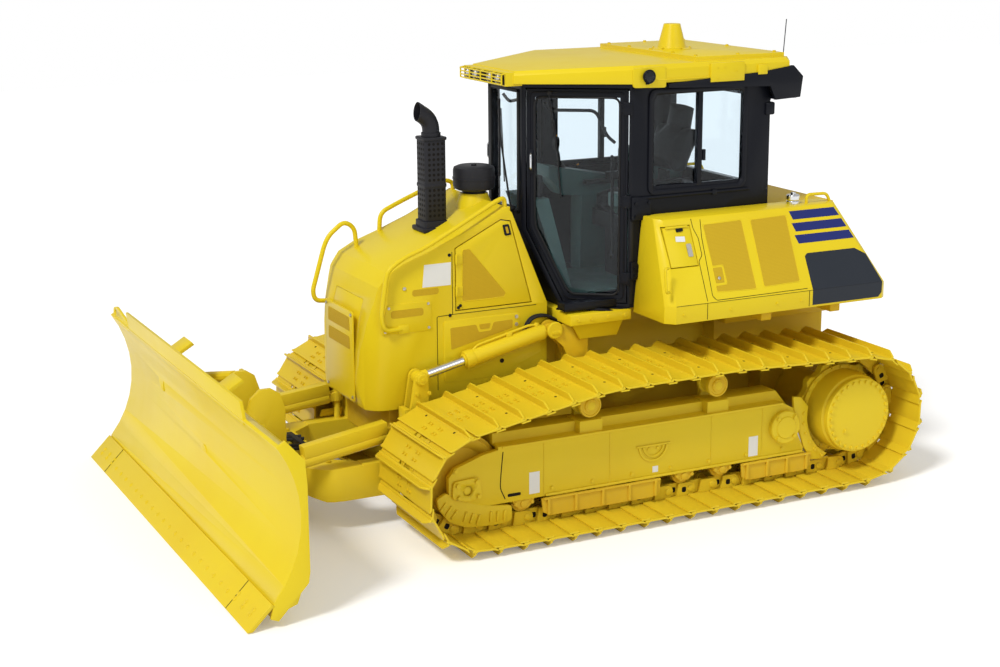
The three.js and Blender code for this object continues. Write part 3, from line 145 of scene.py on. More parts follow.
def bevel_edges(piece: Object, width: float, segments: int = 2, degrees: float = 30.0) -> Object:
    """Rounds the sharp edges of a piece with a bevel modifier that is applied.

    Args:
        piece: The piece to round.
        width: The bevel's width.
        segments: Its number of steps.
        degrees: The angle past which an edge is rounded.

    Returns:
        The same piece.
    """
    choose(piece)
    bevel = piece.modifiers.new("round_edges", "BEVEL")
    bevel.width = width
    bevel.segments = segments
    bevel.limit_method = "ANGLE"
    bevel.angle_limit = math.radians(degrees)
    bevel.harden_normals = False
    bpy.ops.object.modifier_apply(modifier=bevel.name)
    return smooth(piece)


def face_out(piece: Object) -> Object:
    """Merges doubled points and turns all faces outwards."""
    edit_all(piece)
    bpy.ops.mesh.remove_doubles(threshold=1e-5)
    bpy.ops.mesh.normals_make_consistent(inside=False)
    deselect()
    return piece


def block(name: str, low: Point, high: Point, bevel: float = 0.0, segments: int = 2) -> Object:
    """Makes a box with rounded edges.

    Args:
        name: The piece's name.
        low: Its lowest corner.
        high: Its highest corner.
        bevel: The radius of its edges.
        segments: The steps of each edge's round.

    Returns:
        The new piece.
    """
    deselect()
    middle = [(a + b) / 2 for a, b in zip(low, high)]
    spans = [abs(b - a) for a, b in zip(low, high)]
    bpy.ops.mesh.primitive_cube_add(size=1, location=middle, scale=spans)
    piece = settle(bpy.context.object, name)
    return bevel_edges(piece, bevel, segments) if bevel else piece


def bar(name: str, start: Point, end: Point, radius: float, sides: int = 24, bevel: float = 0.0) -> Object:
    """Makes a round bar from one point to another.

    Args:
        name: The piece's name.
        start: The middle of its first end.
        end: The middle of its other end.
        radius: Its radius.
        sides: Its number of sides.
        bevel: The radius of its end edges.

    Returns:
        The new piece.
    """
    deselect()
    run = Vector(end) - Vector(start)
    turn = run.to_track_quat("Z", "Y").to_euler()
    middle = (Vector(start) + Vector(end)) / 2
    bpy.ops.mesh.primitive_cylinder_add(
        vertices=sides, radius=radius, depth=run.length, location=middle, rotation=turn
    )
    piece = settle(bpy.context.object, name)
    return bevel_edges(piece, bevel, 2, 50) if bevel else smooth(piece)


def spot(axis: Axis, point: Sequence[float], along: float) -> Vector:
    """Places a point of an outline that lies across an axis.

    Args:
        axis: The axis that the outline lies across.
        point: The two other coordinates, in X, Y, Z order.
        along: The coordinate along the axis.

    Returns:
        The place.
    """
    values = list(point)
    values.insert(axis.value, along)
    return Vector(values)


def plate(
    name: str,
    outline: Outline,
    axis: Axis,
    low: float,
    high: float,
    bevel: float = 0.0,
    segments: int = 2,
) -> Object:
    """Makes a plate by placing a round face's corners on an outline and extruding it.

    Args:
        name: The piece's name.
        outline: Corner points across the axis, in order.
        axis: The axis that the plate's thickness runs along.
        low: Where the plate starts on the axis.
        high: Where it ends.
        bevel: The radius of its edges.
        segments: The steps of each edge's round.

    Returns:
        The new piece.
    """
    deselect()
    bpy.ops.mesh.primitive_circle_add(vertices=len(outline), fill_type="NGON")
    piece = bpy.context.object
    for vertex, point in zip(piece.data.vertices, outline):
        vertex.co = spot(axis, point, low)
    edit_all(piece)
    bpy.ops.mesh.extrude_region_move(TRANSFORM_OT_translate={"value": axis.unit * (high - low)})
    bpy.ops.mesh.select_all(action="SELECT")
    bpy.ops.mesh.normals_make_consistent(inside=False)
    piece = settle(piece, name)
    return bevel_edges(piece, bevel, segments) if bevel else smooth(piece)


def turned(name: str, profile: Outline, centre: Point, axis: Axis, steps: int = 40) -> Object:
    """Makes a round piece by spinning a closed profile about an axis.

    Args:
        name: The piece's name.
        profile: Points as (radius, place along the axis), in order.
        centre: The point that the places are counted from.
        axis: The axis to spin about.
        steps: The number of steps in the whole turn.

    Returns:
        The new piece.
    """
    deselect()
    bpy.ops.mesh.primitive_circle_add(vertices=len(profile), fill_type="NOTHING")
    piece = bpy.context.object
    across = Axis((axis.value + 1) % 3).unit
    for vertex, (radius, along) in zip(piece.data.vertices, profile):
        vertex.co = Vector(centre) + across * radius + axis.unit * along
    edit_all(piece)
    bpy.ops.mesh.spin(
        steps=steps, angle=2 * math.pi, center=centre, axis=axis.unit, use_auto_merge=True
    )
    bpy.ops.mesh.select_all(action="SELECT")
    bpy.ops.mesh.remove_doubles(threshold=1e-5)
    bpy.ops.mesh.normals_make_consistent(inside=False)
    return smooth(settle(piece, name), 28)


def arc(centre: Sequence[float], radius: float, start: float, end: float, steps: int) -> Flat:
    """Points on a flat arc from one angle to another, in degrees, both ends included."""
    angles = [math.radians(start + (end - start) * i / steps) for i in range(steps + 1)]
    return [(centre[0] + radius * math.cos(a), centre[1] + radius * math.sin(a)) for a in angles]


def eased(points: Sequence[Point], radius: float, steps: int = 6) -> list[Vector]:
    """Rounds the corners of a path.

    Args:
        points: The path's corners.
        radius: How far before and after a corner its round reaches.
        steps: The steps of each round.

    Returns:
        The path's points.
    """
    corners = [Vector(p) for p in points]
    path = [corners[0]]
    for before, corner, after in zip(corners, corners[1:], corners[2:]):
        reach = min(radius, (corner - before).length / 2, (after - corner).length / 2)
        enter = corner + (before - corner).normalized() * reach
        leave = corner + (after - corner).normalized() * reach
        for i in range(steps + 1):
            t = i / steps
            path.append(enter * (1 - t) ** 2 + corner * 2 * t * (1 - t) + leave * t**2)
    path.append(corners[-1])
    return path


def tube(name: str, points: Sequence[Point], radius: float, bend: float = 0.06, sides: int = 4) -> Object:
    """Makes a bent round tube along a path with rounded corners.

    Args:
        name: The piece's name.
        points: The path's corners.
        radius: The tube's radius.
        bend: How far each corner's round reaches.
        sides: A quarter of the tube's number of sides, less one.

    Returns:
        The new piece.
    """
    deselect()
    curve = bpy.data.curves.new(name, "CURVE")
    curve.dimensions = "3D"
    curve.bevel_depth = radius
    curve.bevel_resolution = sides
    curve.use_fill_caps = True
    path = eased(points, bend)
    spline = curve.splines.new("POLY")
    spline.points.add(len(path) - 1)
    for knot, place in zip(spline.points, path):
        knot.co = (*place, 1.0)
    piece = bpy.data.objects.new(name, curve)
    bpy.context.collection.objects.link(piece)
    choose(piece)
    bpy.ops.object.convert(target="MESH")
    return smooth(face_out(bpy.context.object), 40)


def moved_copy(piece: Object, name: str, matrix: Matrix) -> Object:
    """Copies a piece with its own mesh, moved by a matrix.

    Args:
        piece: The piece to copy.
        name: The copy's name.
        matrix: How the copy is moved; a mirror is put right way out.

    Returns:
        The copy.
    """
    copy = piece.copy()
    copy.data = piece.data.copy()
    copy.name = name
    copy.data.name = name
    copy.data.transform(matrix)
    if matrix.determinant() < 0:
        copy.data.flip_normals()
    bpy.context.collection.objects.link(copy)
    return copy


def mirrored(piece: Object, name: str) -> Object:
    """Copies a piece, under a new name, to the other side of the machine."""
    return moved_copy(piece, name, Matrix.Diagonal((-1, 1, 1, 1)))


def joined(name: str, pieces: Iterable[Object]) -> Object:
    """Joins pieces into one.

    Args:
        name: The name of the whole.
        pieces: The pieces to join.

    Returns:
        The joined piece.
    """
    pieces = list(pieces)
    deselect()
    for piece in pieces:
        piece.select_set(True)
    bpy.context.view_layer.objects.active = pieces[0]
    if len(pieces) > 1:
        bpy.ops.object.join()
    whole = bpy.context.view_layer.objects.active
    whole.name = name
    whole.data.name = name
    return whole


def repeated(name: str, piece: Object, places: Iterable[Matrix]) -> Object:
    """Copies one piece to many places and joins the copies; the first one goes.

    Args:
        name: The name of the whole.
        piece: The piece to repeat.
        places: One matrix for each copy.

    Returns:
        The joined piece.
    """
    copies = [moved_copy(piece, f"{name}_{i}", place) for i, place in enumerate(places)]
    bpy.data.objects.remove(piece)
    return joined(name, copies)


def cut_away(piece: Object, tool: Object) -> Object:
    """Cuts one piece's shape out of another, and removes the cutting piece.

    Args:
        piece: The piece that stays.
        tool: The piece that is cut out of it.

    Returns:
        The piece that stays.
    """
    choose(piece)
    boolean = piece.modifiers.new("cut", "BOOLEAN")
    boolean.operation = "DIFFERENCE"
    boolean.object = tool
    boolean.solver = "EXACT"
    bpy.ops.object.modifier_apply(modifier=boolean.name)
    bpy.data.objects.remove(tool)
    return piece


def refined(node: str, name: str, width: float, segments: int = 2, degrees: float = 22.0) -> Object:
    """Copies a frame node, cleans its flat faces and rounds its edges.

    Args:
        node: The node to copy.
        name: The copy's name.
        width: The radius of its edges.
        segments: The steps of each edge's round.
        degrees: The angle past which an edge is rounded.

    Returns:
        The copy, which stands for the node.
    """
    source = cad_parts[node]
    piece = moved_copy(source, name, Matrix.Identity(4))
    for key in list(piece.keys()):
        del piece[key]
    piece.parent = None
    piece.matrix_world = Matrix.Identity(4)
    edit_all(piece)
    bpy.ops.mesh.remove_doubles(threshold=1e-5)
    bpy.ops.mesh.dissolve_limited(angle_limit=math.radians(1.5))
    bpy.ops.mesh.normals_make_consistent(inside=False)
    deselect()
    if width:
        bevel_edges(piece, width, segments, degrees)
    smooth(piece)
    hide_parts(node)
    return piece


# ---- finishes


class Graph:
    """A shader graph that is filled node by node."""

    def __init__(self, tree: Tree) -> None:
        """Keeps the tree.

        Args:
            tree: The node tree to fill.
        """
        self.tree = tree

    def feed(self, node: Node, **inputs: object) -> Node:
        """Fills a node's inputs.

        Args:
            node: The node to fill.
            inputs: Values or output sockets, by the input's name with _ for a space, or by i and its number.

        Returns:
            The same node.
        """
        for key, value in inputs.items():
            numbered = key[0] == "i" and key[1:].isdigit()
            socket = node.inputs[int(key[1:]) if numbered else key.replace("_", " ")]
            if isinstance(value, Socket):
                self.tree.links.new(value, socket)
            else:
                socket.default_value = value
        return node

    def add(self, kind: str, settings: dict | None = None, **inputs: object) -> Node:
        """Adds a node.

        Args:
            kind: The node's type name, after ShaderNode.
            settings: Properties to set on it.
            inputs: What its inputs are fed.

        Returns:
            The new node.
        """
        node = self.tree.nodes.new(kind if kind.startswith("NodeGroup") else f"ShaderNode{kind}")
        for key, value in (settings or {}).items():
            setattr(node, key, value)
        return self.feed(node, **inputs)

    def maths(self, operation: str, *values: object) -> Socket:
        """Adds a maths node on numbers or sockets and gives its output."""
        inputs = {f"i{i}": value for i, value in enumerate(values)}
        return self.add("Math", {"operation": operation}, **inputs).outputs[0]

    def noise(self, vector: object, scale: object, detail: float = 2.0) -> Socket:
        """Adds a noise texture of a scale and a number of octaves, and gives its value."""
        return self.add("TexNoise", None, Vector=vector, Scale=scale, Detail=detail).outputs["Fac"]

    def mix(self, factor: object, first: object, second: object) -> Socket:
        """Mixes two colours by the share of the second one, and gives the result."""
        return self.add("Mix", {"data_type": "RGBA"}, i0=factor, i6=first, i7=second).outputs[2]


def node_group(name: str, inputs: dict[str, object], outputs: dict[str, str]) -> tuple[Tree, Graph]:
    """Starts a shader node group with named inputs and outputs.

    Args:
        name: The group's name.
        inputs: Each input's name and its default; None is a vector.
        outputs: Each output's name and socket kind.

    Returns:
        The group's tree and its graph.
    """
    tree = bpy.data.node_groups.new(name, "ShaderNodeTree")
    for label, default in inputs.items():
        kind = "NodeSocketFloat"
        if default is None:
            kind = "NodeSocketVector"
        elif isinstance(default, tuple):
            kind = "NodeSocketColor"
        socket = tree.interface.new_socket(name=label, in_out="INPUT", socket_type=kind)
        if default is not None:
            socket.default_value = default
    for label, kind in outputs.items():
        tree.interface.new_socket(name=label, in_out="OUTPUT", socket_type=kind)
    return tree, Graph(tree)


COLOUR_OUT = "NodeSocketColor"
VALUE_OUT = "NodeSocketFloat"


def coat_of_paint() -> Tree:
    """Builds the group that varies a paint: soft tone changes, orange peel and dust that settles low."""
    defaults = {
        "Vector": None,
        "Colour": (0.8, 0.6, 0.03, 1.0),
        "Shade": (0.6, 0.4, 0.02, 1.0),
        "Tone Scale": 1.4,
        "Dust": 0.1,
        "Dust Height": 1.0,
        "Gloss": 0.35,
        "Peel": 0.4,
    }
    outputs = {"Colour": COLOUR_OUT, "Roughness": VALUE_OUT, "Height": VALUE_OUT}
    tree, graph = node_group("coat_of_paint", defaults, outputs)
    source = graph.add("NodeGroupInput").outputs
    tone = graph.noise(source["Vector"], source["Tone Scale"], 4.0)
    tone = graph.maths("MULTIPLY", graph.maths("SUBTRACT", tone, 0.35), 0.9)
    painted = graph.mix(graph.maths("MAXIMUM", tone, 0.0), source["Colour"], source["Shade"])
    place = graph.add("SeparateXYZ", None, Vector=source["Vector"]).outputs
    low = graph.maths("SUBTRACT", 1.0, graph.maths("DIVIDE", place["Z"], source["Dust Height"]))
    low = graph.maths("MINIMUM", graph.maths("MAXIMUM", low, 0.0), 1.0)
    specks = graph.noise(source["Vector"], 34.0, 6.0)
    specks = graph.maths("POWER", specks, 2.0)
    clouds = graph.noise(source["Vector"], 5.0, 5.0)
    dust = graph.maths(
        "MULTIPLY", graph.maths("MULTIPLY", low, source["Dust"]), graph.maths("ADD", specks, clouds)
    )
    dusty = graph.mix(dust, painted, (0.46, 0.36, 0.18, 1.0))
    rough = graph.maths("ADD", source["Gloss"], graph.maths("MULTIPLY", dust, 0.5))
    rough = graph.maths("ADD", rough, graph.maths("MULTIPLY", graph.maths("SUBTRACT", clouds, 0.5), 0.12))
    peel = graph.maths("MULTIPLY", graph.noise(source["Vector"], 240.0, 2.0), source["Peel"])
    graph.add("NodeGroupOutput", None, Colour=dusty, Roughness=rough, Height=peel)
    return tree


def grain() -> Tree:
    """Builds the group for moulded and sewn stuff: fine cells and random patches of a worn tone."""
    defaults = {
        "Vector": None,
        "Colour": (0.03, 0.03, 0.03, 1.0),
        "Worn": (0.08, 0.08, 0.08, 1.0),
        "Cell Scale": 300.0,
        "Depth": 0.5,
        "Gloss": 0.5,
    }
    outputs = {"Colour": COLOUR_OUT, "Roughness": VALUE_OUT, "Height": VALUE_OUT}
    tree, graph = node_group("grain", defaults, outputs)
    source = graph.add("NodeGroupInput").outputs
    cells = graph.add("TexVoronoi", None, Vector=source["Vector"], Scale=source["Cell Scale"])
    patch = graph.noise(source["Vector"], 7.0, 5.0)
    colour = graph.mix(graph.maths("MULTIPLY", patch, 0.6), source["Colour"], source["Worn"])
    rough = graph.maths(
        "ADD", source["Gloss"], graph.maths("MULTIPLY", graph.maths("SUBTRACT", patch, 0.5), 0.25)
    )
    height = graph.maths("MULTIPLY", cells.outputs["Distance"], source["Depth"])
    graph.add("NodeGroupOutput", None, Colour=colour, Roughness=rough, Height=height)
    return tree


def punched_holes() -> Tree:
    """Builds the group for a sheet with rows of small round holes; the mask is 1 in a hole."""
    defaults = {"Vector": None, "Pitch": 0.02, "Radius": 0.3}
    tree, graph = node_group("punched_holes", defaults, {"Mask": VALUE_OUT})
    source = graph.add("NodeGroupInput").outputs
    place = graph.add("SeparateXYZ", None, Vector=source["Vector"]).outputs
    across = graph.maths("DIVIDE", graph.maths("ADD", place["X"], place["Y"]), source["Pitch"])
    up = graph.maths("DIVIDE", place["Z"], source["Pitch"])
    near = graph.maths("SUBTRACT", graph.maths("FRACT", across), 0.5)
    level = graph.maths("SUBTRACT", graph.maths("FRACT", up), 0.5)
    squares = graph.maths("ADD", graph.maths("MULTIPLY", near, near), graph.maths("MULTIPLY", level, level))
    mask = graph.maths("LESS_THAN", graph.maths("SQRT", squares), source["Radius"])
    graph.add("NodeGroupOutput", None, Mask=mask)
    return tree


GROUPS = {"paint": coat_of_paint(), "grain": grain(), "holes": punched_holes()}


def new_material(name: str) -> tuple[Material, Graph, Node, Socket]:
    """Starts a material with its shader and object coordinates.

    Args:
        name: The material's name.

    Returns:
        The material, its graph, its shader and the coordinates' socket.
    """
    material = bpy.data.materials.new(name)
    material.use_nodes = True
    graph = Graph(material.node_tree)
    shader = material.node_tree.nodes["Principled BSDF"]
    place = graph.add("TexCoord").outputs["Object"]
    return material, graph, shader, place


def connect(graph: Graph, shader: Node, parts: Node, bump: float) -> None:
    """Links a group's colour, roughness and height to a shader.

    Args:
        graph: The material's graph.
        shader: The shader.
        parts: The group node.
        bump: The height of the relief in metres.
    """
    made = parts.outputs
    relief = graph.add("Bump", None, Strength=0.35, Distance=bump, Height=made["Height"]).outputs["Normal"]
    graph.feed(shader, Base_Color=made["Colour"], Roughness=made["Roughness"], Normal=relief)


@dataclass(frozen=True)
class Paint:
    """Sprayed paint with soft tone changes, orange peel, dust near the ground and, on punched sheets, painted
    shade in the holes.
    """

    name: str
    colour: Triple
    shade: Triple
    slot: str
    gloss: float = 0.34
    coat: float = 0.04
    dust: float = 0.05
    dust_height: float = 1.1
    peel: float = 0.35
    metallic: float = 0.0
    specular: float = 0.18
    hole_pitch: float = 0.0
    # the colour of the painted shade seen through punched holes
    hole_colour: Triple = (0.25, 0.16, 0.02)

    def make(self) -> Material:
        """Builds the material."""
        material, graph, shader, place = new_material(self.name)
        parts = graph.add(
            "Group",
            {"node_tree": GROUPS["paint"]},
            Vector=place,
            Colour=(*self.colour, 1),
            Shade=(*self.shade, 1),
            Dust=self.dust,
            Dust_Height=self.dust_height,
            Gloss=self.gloss,
            Peel=self.peel,
        )
        connect(graph, shader, parts, 0.0006)
        # painted shade: the punched holes get a darker colour for the shade seen through them
        if self.hole_pitch:
            holes = graph.add(
                "Group", {"node_tree": GROUPS["holes"]}, Vector=place, Pitch=self.hole_pitch, Radius=0.3
            )
            colour = graph.mix(holes.outputs["Mask"], parts.outputs["Colour"], (*self.hole_colour, 1))
            graph.feed(shader, Base_Color=colour)
        graph.feed(
            shader, Specular_IOR_Level=self.specular, Coat_Weight=self.coat, Coat_Roughness=0.12,
            Metallic=self.metallic,
        )
        return material


@dataclass(frozen=True)
class Moulding:
    """Moulded plastic, rubber or seat vinyl with a fine grain."""

    name: str
    colour: Triple
    worn: Triple
    slot: str
    cells: float = 320.0
    depth: float = 0.5
    gloss: float = 0.5
    sheen: float = 0.0
    specular: float = 0.2

    def make(self) -> Material:
        """Builds the material."""
        material, graph, shader, place = new_material(self.name)
        parts = graph.add(
            "Group",
            {"node_tree": GROUPS["grain"]},
            Vector=place,
            Colour=(*self.colour, 1),
            Worn=(*self.worn, 1),
            Cell_Scale=self.cells,
            Depth=self.depth,
            Gloss=self.gloss,
        )
        connect(graph, shader, parts, 0.0008)
        graph.feed(shader, Sheen_Weight=self.sheen, Specular_IOR_Level=self.specular)
        return material


@dataclass(frozen=True)
class Polish:
    """Bare, polished metal with faint turning marks."""

    name: str
    colour: Triple
    slot: str
    gloss: float = 0.16

    def make(self) -> Material:
        """Builds the material."""
        material, graph, shader, place = new_material(self.name)
        marks = graph.noise(place, 900.0, 2.0)
        rough = graph.maths("ADD", graph.maths("MULTIPLY", marks, 0.12), self.gloss)
        tint = graph.mix(
            graph.noise(place, 9.0, 3.0), (*self.colour, 1), tuple(v * 0.86 for v in self.colour) + (1,)
        )
        graph.feed(shader, Roughness=rough, Base_Color=tint, Metallic=1.0)
        return material


@dataclass(frozen=True)
class Pane:
    """Clear or tinted glass that lets light through, a little dusty."""

    name: str
    tint: Triple
    slot: str

    def make(self) -> Material:
        """Builds the material."""
        material, graph, shader, place = new_material(self.name)
        haze = graph.maths("MULTIPLY", graph.noise(place, 3.0, 6.0), 0.05)
        graph.feed(shader, Roughness=haze, Base_Color=(*self.tint, 1), Transmission_Weight=1.0, IOR=1.05)
        graph.feed(shader, Specular_IOR_Level=0.8, Coat_Weight=0.35, Coat_Roughness=0.02)
        return material


YELLOW = (0.78, 0.6, 0.014)
WARM = (0.72, 0.49, 0.01)
FINISHES = {
    finish.name: finish
    for finish in (
        Paint("body_yellow", YELLOW, WARM, "yellow", dust=0.03),
        Paint("frame_yellow", (0.77, 0.58, 0.016), (0.7, 0.47, 0.012), "yellow", gloss=0.42, dust=0.07),
        Paint("track_yellow", (0.75, 0.55, 0.018), (0.67, 0.44, 0.014), "track_paint", gloss=0.42, dust=0.04),
        # painted shade: a darker, warmer copy of the yellow paint for the rollers, idlers, hull and other
        # parts low down and under the machine
        Paint(
            "under_yellow", (0.72, 0.49, 0.014), (0.64, 0.38, 0.01), "shaded_yellow", gloss=0.52,
            coat=0.05, dust=0.12,
        ),
        # painted shade: vents, slots and pockets take a darker mustard for the shade seen through their holes
        # and inside them, and the hole dots are darker still
        Paint(
            "vent_mustard", (0.6, 0.4, 0.02), (0.54, 0.34, 0.016), "yellow", gloss=0.6, coat=0.0,
            dust=0.0, specular=0.1, hole_pitch=0.009, hole_colour=(0.5, 0.32, 0.016),
        ),
        Paint(
            "cab_black", (0.005, 0.006, 0.01), (0.008, 0.009, 0.014), "black_paint", gloss=0.42,
            coat=0.06, dust=0.0, specular=0.16,
        ),
        Paint(
            "stack_black", (0.018, 0.018, 0.022), (0.028, 0.028, 0.032), "black_paint", gloss=0.5,
            coat=0.05, dust=0.0,
        ),
        Paint("stripe_blue", (0.018, 0.028, 0.16), (0.014, 0.02, 0.12), "black_paint", gloss=0.3, dust=0.0),
        Paint(
            "panel_slate", (0.022, 0.027, 0.036), (0.03, 0.034, 0.042), "black_paint", gloss=0.35, dust=0.0
        ),
        Paint("label_white", (0.78, 0.79, 0.78), (0.7, 0.71, 0.7), "yellow", gloss=0.45, coat=0.1, dust=0.0),
        # painted shade: near black for the shade inside holes, gaps, slots and recesses
        Paint(
            "dark_hole", (0.006, 0.005, 0.004), (0.01, 0.008, 0.006), "black_paint", gloss=0.7, coat=0.0,
            dust=0.0,
        ),
        Paint(
            "zinc", (0.55, 0.53, 0.48), (0.46, 0.44, 0.4), "rod_chrome", gloss=0.35, coat=0.0, dust=0.0,
            metallic=0.9, specular=0.5,
        ),
        Moulding(
            "hose_rubber", (0.012, 0.012, 0.013), (0.03, 0.03, 0.032), "seat_plastic", cells=420, gloss=0.55
        ),
        Moulding(
            "seat_vinyl", (0.006, 0.007, 0.008), (0.012, 0.013, 0.015), "seat_cover", cells=420,
            depth=0.3, gloss=0.6,
        ),
        Moulding("seat_shell", (0.007, 0.008, 0.009), (0.013, 0.014, 0.016), "seat_plastic", cells=380),
        Moulding(
            "console_teal", (0.055, 0.105, 0.098), (0.075, 0.13, 0.12), "console_plastic", cells=340,
            gloss=0.5,
        ),
        Moulding(
            "lamp_amber", (0.75, 0.32, 0.02), (0.6, 0.25, 0.02), "console_plastic", cells=120, gloss=0.25
        ),
        Polish("chrome", (0.82, 0.83, 0.84), "rod_chrome"),
        Polish("lamp_mirror", (0.9, 0.9, 0.88), "rod_chrome", gloss=0.08),
        Pane("cab_glass", (0.84, 0.91, 0.95), "tinted_glass"),
        Pane("lamp_glass", (0.95, 0.96, 0.96), "tinted_glass"),
    )
}
MATERIALS: dict[str, Material] = {}


def material(name: str) -> Material:
    """Gives a finish's material, built the first time it is asked for."""
    if name not in MATERIALS:
        MATERIALS[name] = FINISHES[name].make()
    return MATERIALS[name]


def dress(piece: Object, finish: str, body: str = "chassis") -> Object:
    """Gives a piece its finish and body.

    Args:
        piece: The piece.
        finish: The finish's name.
        body: The body that it moves with.

    Returns:
        The piece.
    """
    deselect()
    piece.data.materials.clear()
    piece.data.materials.append(material(finish))
    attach(piece, body)
    LOG.info("%s rides %s", piece.name, body)
    return piece


def paint_node(node: str, finish: str) -> None:
    """Gives a frame node its finish."""
    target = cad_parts[node]
    target.data.materials.clear()
    target.data.materials.append(material(finish))


# ---- studio


@dataclass
class Studio:
    """The pale floor, the lamps, the sky and the camera."""

    floor_size: float = 60.0
    camera_place: Triple = (11.3414, -5.6996, 4.2673)
    azimuth: float = 63.6316
    elevation: float = 13.9465
    roll: float = -0.3581
    lens: float = 63.2
    sky: float = 0.52
    sun: float = 1.9

    def floor(self) -> None:
        """Lays the floor."""
        deselect()
        bpy.ops.mesh.primitive_plane_add(size=self.floor_size, location=(0, 0, -0.001))
        piece = settle(bpy.context.object, "floor")
        shell, graph, shader, place = new_material("floor_white")
        tone = graph.mix(graph.noise(place, 0.4, 1.0), (0.97, 0.97, 0.97, 1), (0.95, 0.95, 0.95, 1))
        graph.feed(
            shader, Base_Color=tone, Roughness=0.9, Specular_IOR_Level=0.1, Emission_Color=(1, 1, 1, 1)
        )
        ray = graph.add("LightPath").outputs
        seen = graph.maths("ADD", ray["Is Camera Ray"], ray["Is Glossy Ray"])
        seen = graph.maths("MINIMUM", graph.maths("ADD", seen, ray["Is Transmission Ray"]), 1.0)
        graph.feed(shader, Emission_Strength=graph.maths("MULTIPLY", seen, 0.16))
        piece.data.materials.append(shell)

    def world(self) -> None:
        """Makes an even sky that shows white."""
        world = bpy.data.worlds.new("studio")
        world.use_nodes = True
        bpy.context.scene.world = world
        graph = Graph(world.node_tree)
        background = world.node_tree.nodes["Background"]
        ray = graph.add("LightPath").outputs
        seen = graph.maths("ADD", ray["Is Camera Ray"], ray["Is Transmission Ray"])
        seen = graph.maths("MINIMUM", seen, 1.0)
        level = graph.maths("ADD", graph.maths("MULTIPLY", seen, 1.0 - self.sky), self.sky)
        graph.feed(background, Color=(1, 1, 1, 1), Strength=level)

    def lamps(self) -> None:
        """Hangs a soft key lamp ahead and above, and a weak fill from the side."""
        for name, strength, turn, spread in (
            ("key", self.sun, (math.radians(42), 0, math.radians(28)), 12),
            ("fill", 0.35, (math.radians(62), 0, math.radians(105)), 30),
        ):
            deselect()
            bpy.ops.object.light_add(type="SUN", location=(0, 0, 12), rotation=turn)
            lamp = bpy.context.object
            lamp.name = name
            lamp.data.energy = strength
            lamp.data.angle = math.radians(spread)

    def camera(self) -> None:
        """Places the camera."""
        deselect()
        bpy.ops.object.camera_add(location=self.camera_place)
        camera = bpy.context.object
        turn = math.radians(self.azimuth)
        rise = math.radians(self.elevation)
        tilt = math.radians(self.roll)
        back = Vector((math.sin(turn) * math.cos(rise), -math.cos(turn) * math.cos(rise), math.sin(rise)))
        right = Vector((0, 0, 1)).cross(back).normalized()
        up = back.cross(right)
        across = right * math.cos(tilt) + up * math.sin(tilt)
        upright = up * math.cos(tilt) - right * math.sin(tilt)
        columns = Matrix((across, upright, back)).transposed()
        camera.matrix_world = Matrix.Translation(self.camera_place) @ columns.to_4x4()
        camera.data.lens = self.lens
        camera.data.sensor_width = 36.0
        camera.data.clip_end = 200.0
        bpy.context.scene.camera = camera

    def build(self) -> None:
        """Sets up the whole studio."""
        bpy.context.scene.view_settings.view_transform = "Standard"
        self.floor()
        self.world()
        self.lamps()
        self.camera()


# ---- small parts


def bolt_heads(name: str, places: Iterable[Point], axis: Axis, radius: float, height: float) -> Object:
    """Makes hexagon bolt heads with washers.

    Args:
        name: The name of the whole.
        places: The middle of each head's seat.
        axis: The axis that the bolts lie along.
        radius: The head's radius.
        height: Its height; below nought the heads point down the axis.

    Returns:
        All heads in one piece.
    """
    washer = bar("washer", (0, 0, 0), axis.unit * height * 0.25, radius * 1.25, 10)
    head = bar("head", axis.unit * height * 0.2, axis.unit * height, radius, 6)
    both = joined("bolt", [washer, head])
    return repeated(name, both, [Matrix.Translation(place) for place in places])


def bolt_ring(centre: Point, axis: Axis, radius: float, count: int, start: float = 0.0) -> list[Vector]:
    """Places evenly round a circle that lies across an axis.

    Args:
        centre: The circle's centre.
        axis: The axis through it.
        radius: The circle's radius.
        count: How many places.
        start: The first one's angle in degrees.

    Returns:
        The places.
    """
    flat = [value for i, value in enumerate(centre) if i != axis.value]
    ring = arc(flat, radius, start, start + 360, count)[:-1]
    return [spot(axis, point, centre[axis.value]) for point in ring]


def rounded_box(x0: float, x1: float, y0: float, y1: float, radius: float, steps: int = 5) -> Flat:
    """The outline of a rectangle with round corners.

    Args:
        x0: Its low end across.
        x1: Its high end across.
        y0: Its low end the other way.
        y1: Its high end the other way.
        radius: The corners' radius.
        steps: The steps of each corner.

    Returns:
        The outline's points.
    """
    corners = ((x1, y1, 0), (x0, y1, 90), (x0, y0, 180), (x1, y0, 270))
    points: Flat = []
    for x, y, turn in corners:
        cx = x - radius if x == x1 else x + radius
        cy = y - radius if y == y1 else y + radius
        points += arc((cx, cy), radius, turn, turn + 90, steps)
    return points


def softened(points: Outline, radius: float, steps: int = 4) -> Flat:
    """Rounds the corners of a closed outline.

    Args:
        points: The outline's corners.
        radius: How far each round reaches.
        steps: The steps of each round.

    Returns:
        The rounded outline.
    """
    loop = [Vector((*point, 0)) for point in points]
    result: Flat = []
    for i, corner in enumerate(loop):
        path = eased(
            [(loop[i - 1] + corner) / 2, corner, (corner + loop[(i + 1) % len(loop)]) / 2], radius, steps
        )
        result += [(p.x, p.y) for p in path[1:-1]]
    return result


def two_faced(half: Flat) -> Flat:
    """Completes a wheel's profile from its outer half, given from the axis to the rim."""
    return [(r, -x) for r, x in half] + half[::-1]


def gathered(name: str, pieces: Iterable[Object], finish: str, body: str = "chassis") -> Object:
    """Joins pieces into one, gives it a finish and a body to ride, and returns it."""
    return dress(joined(name, pieces), finish, body)


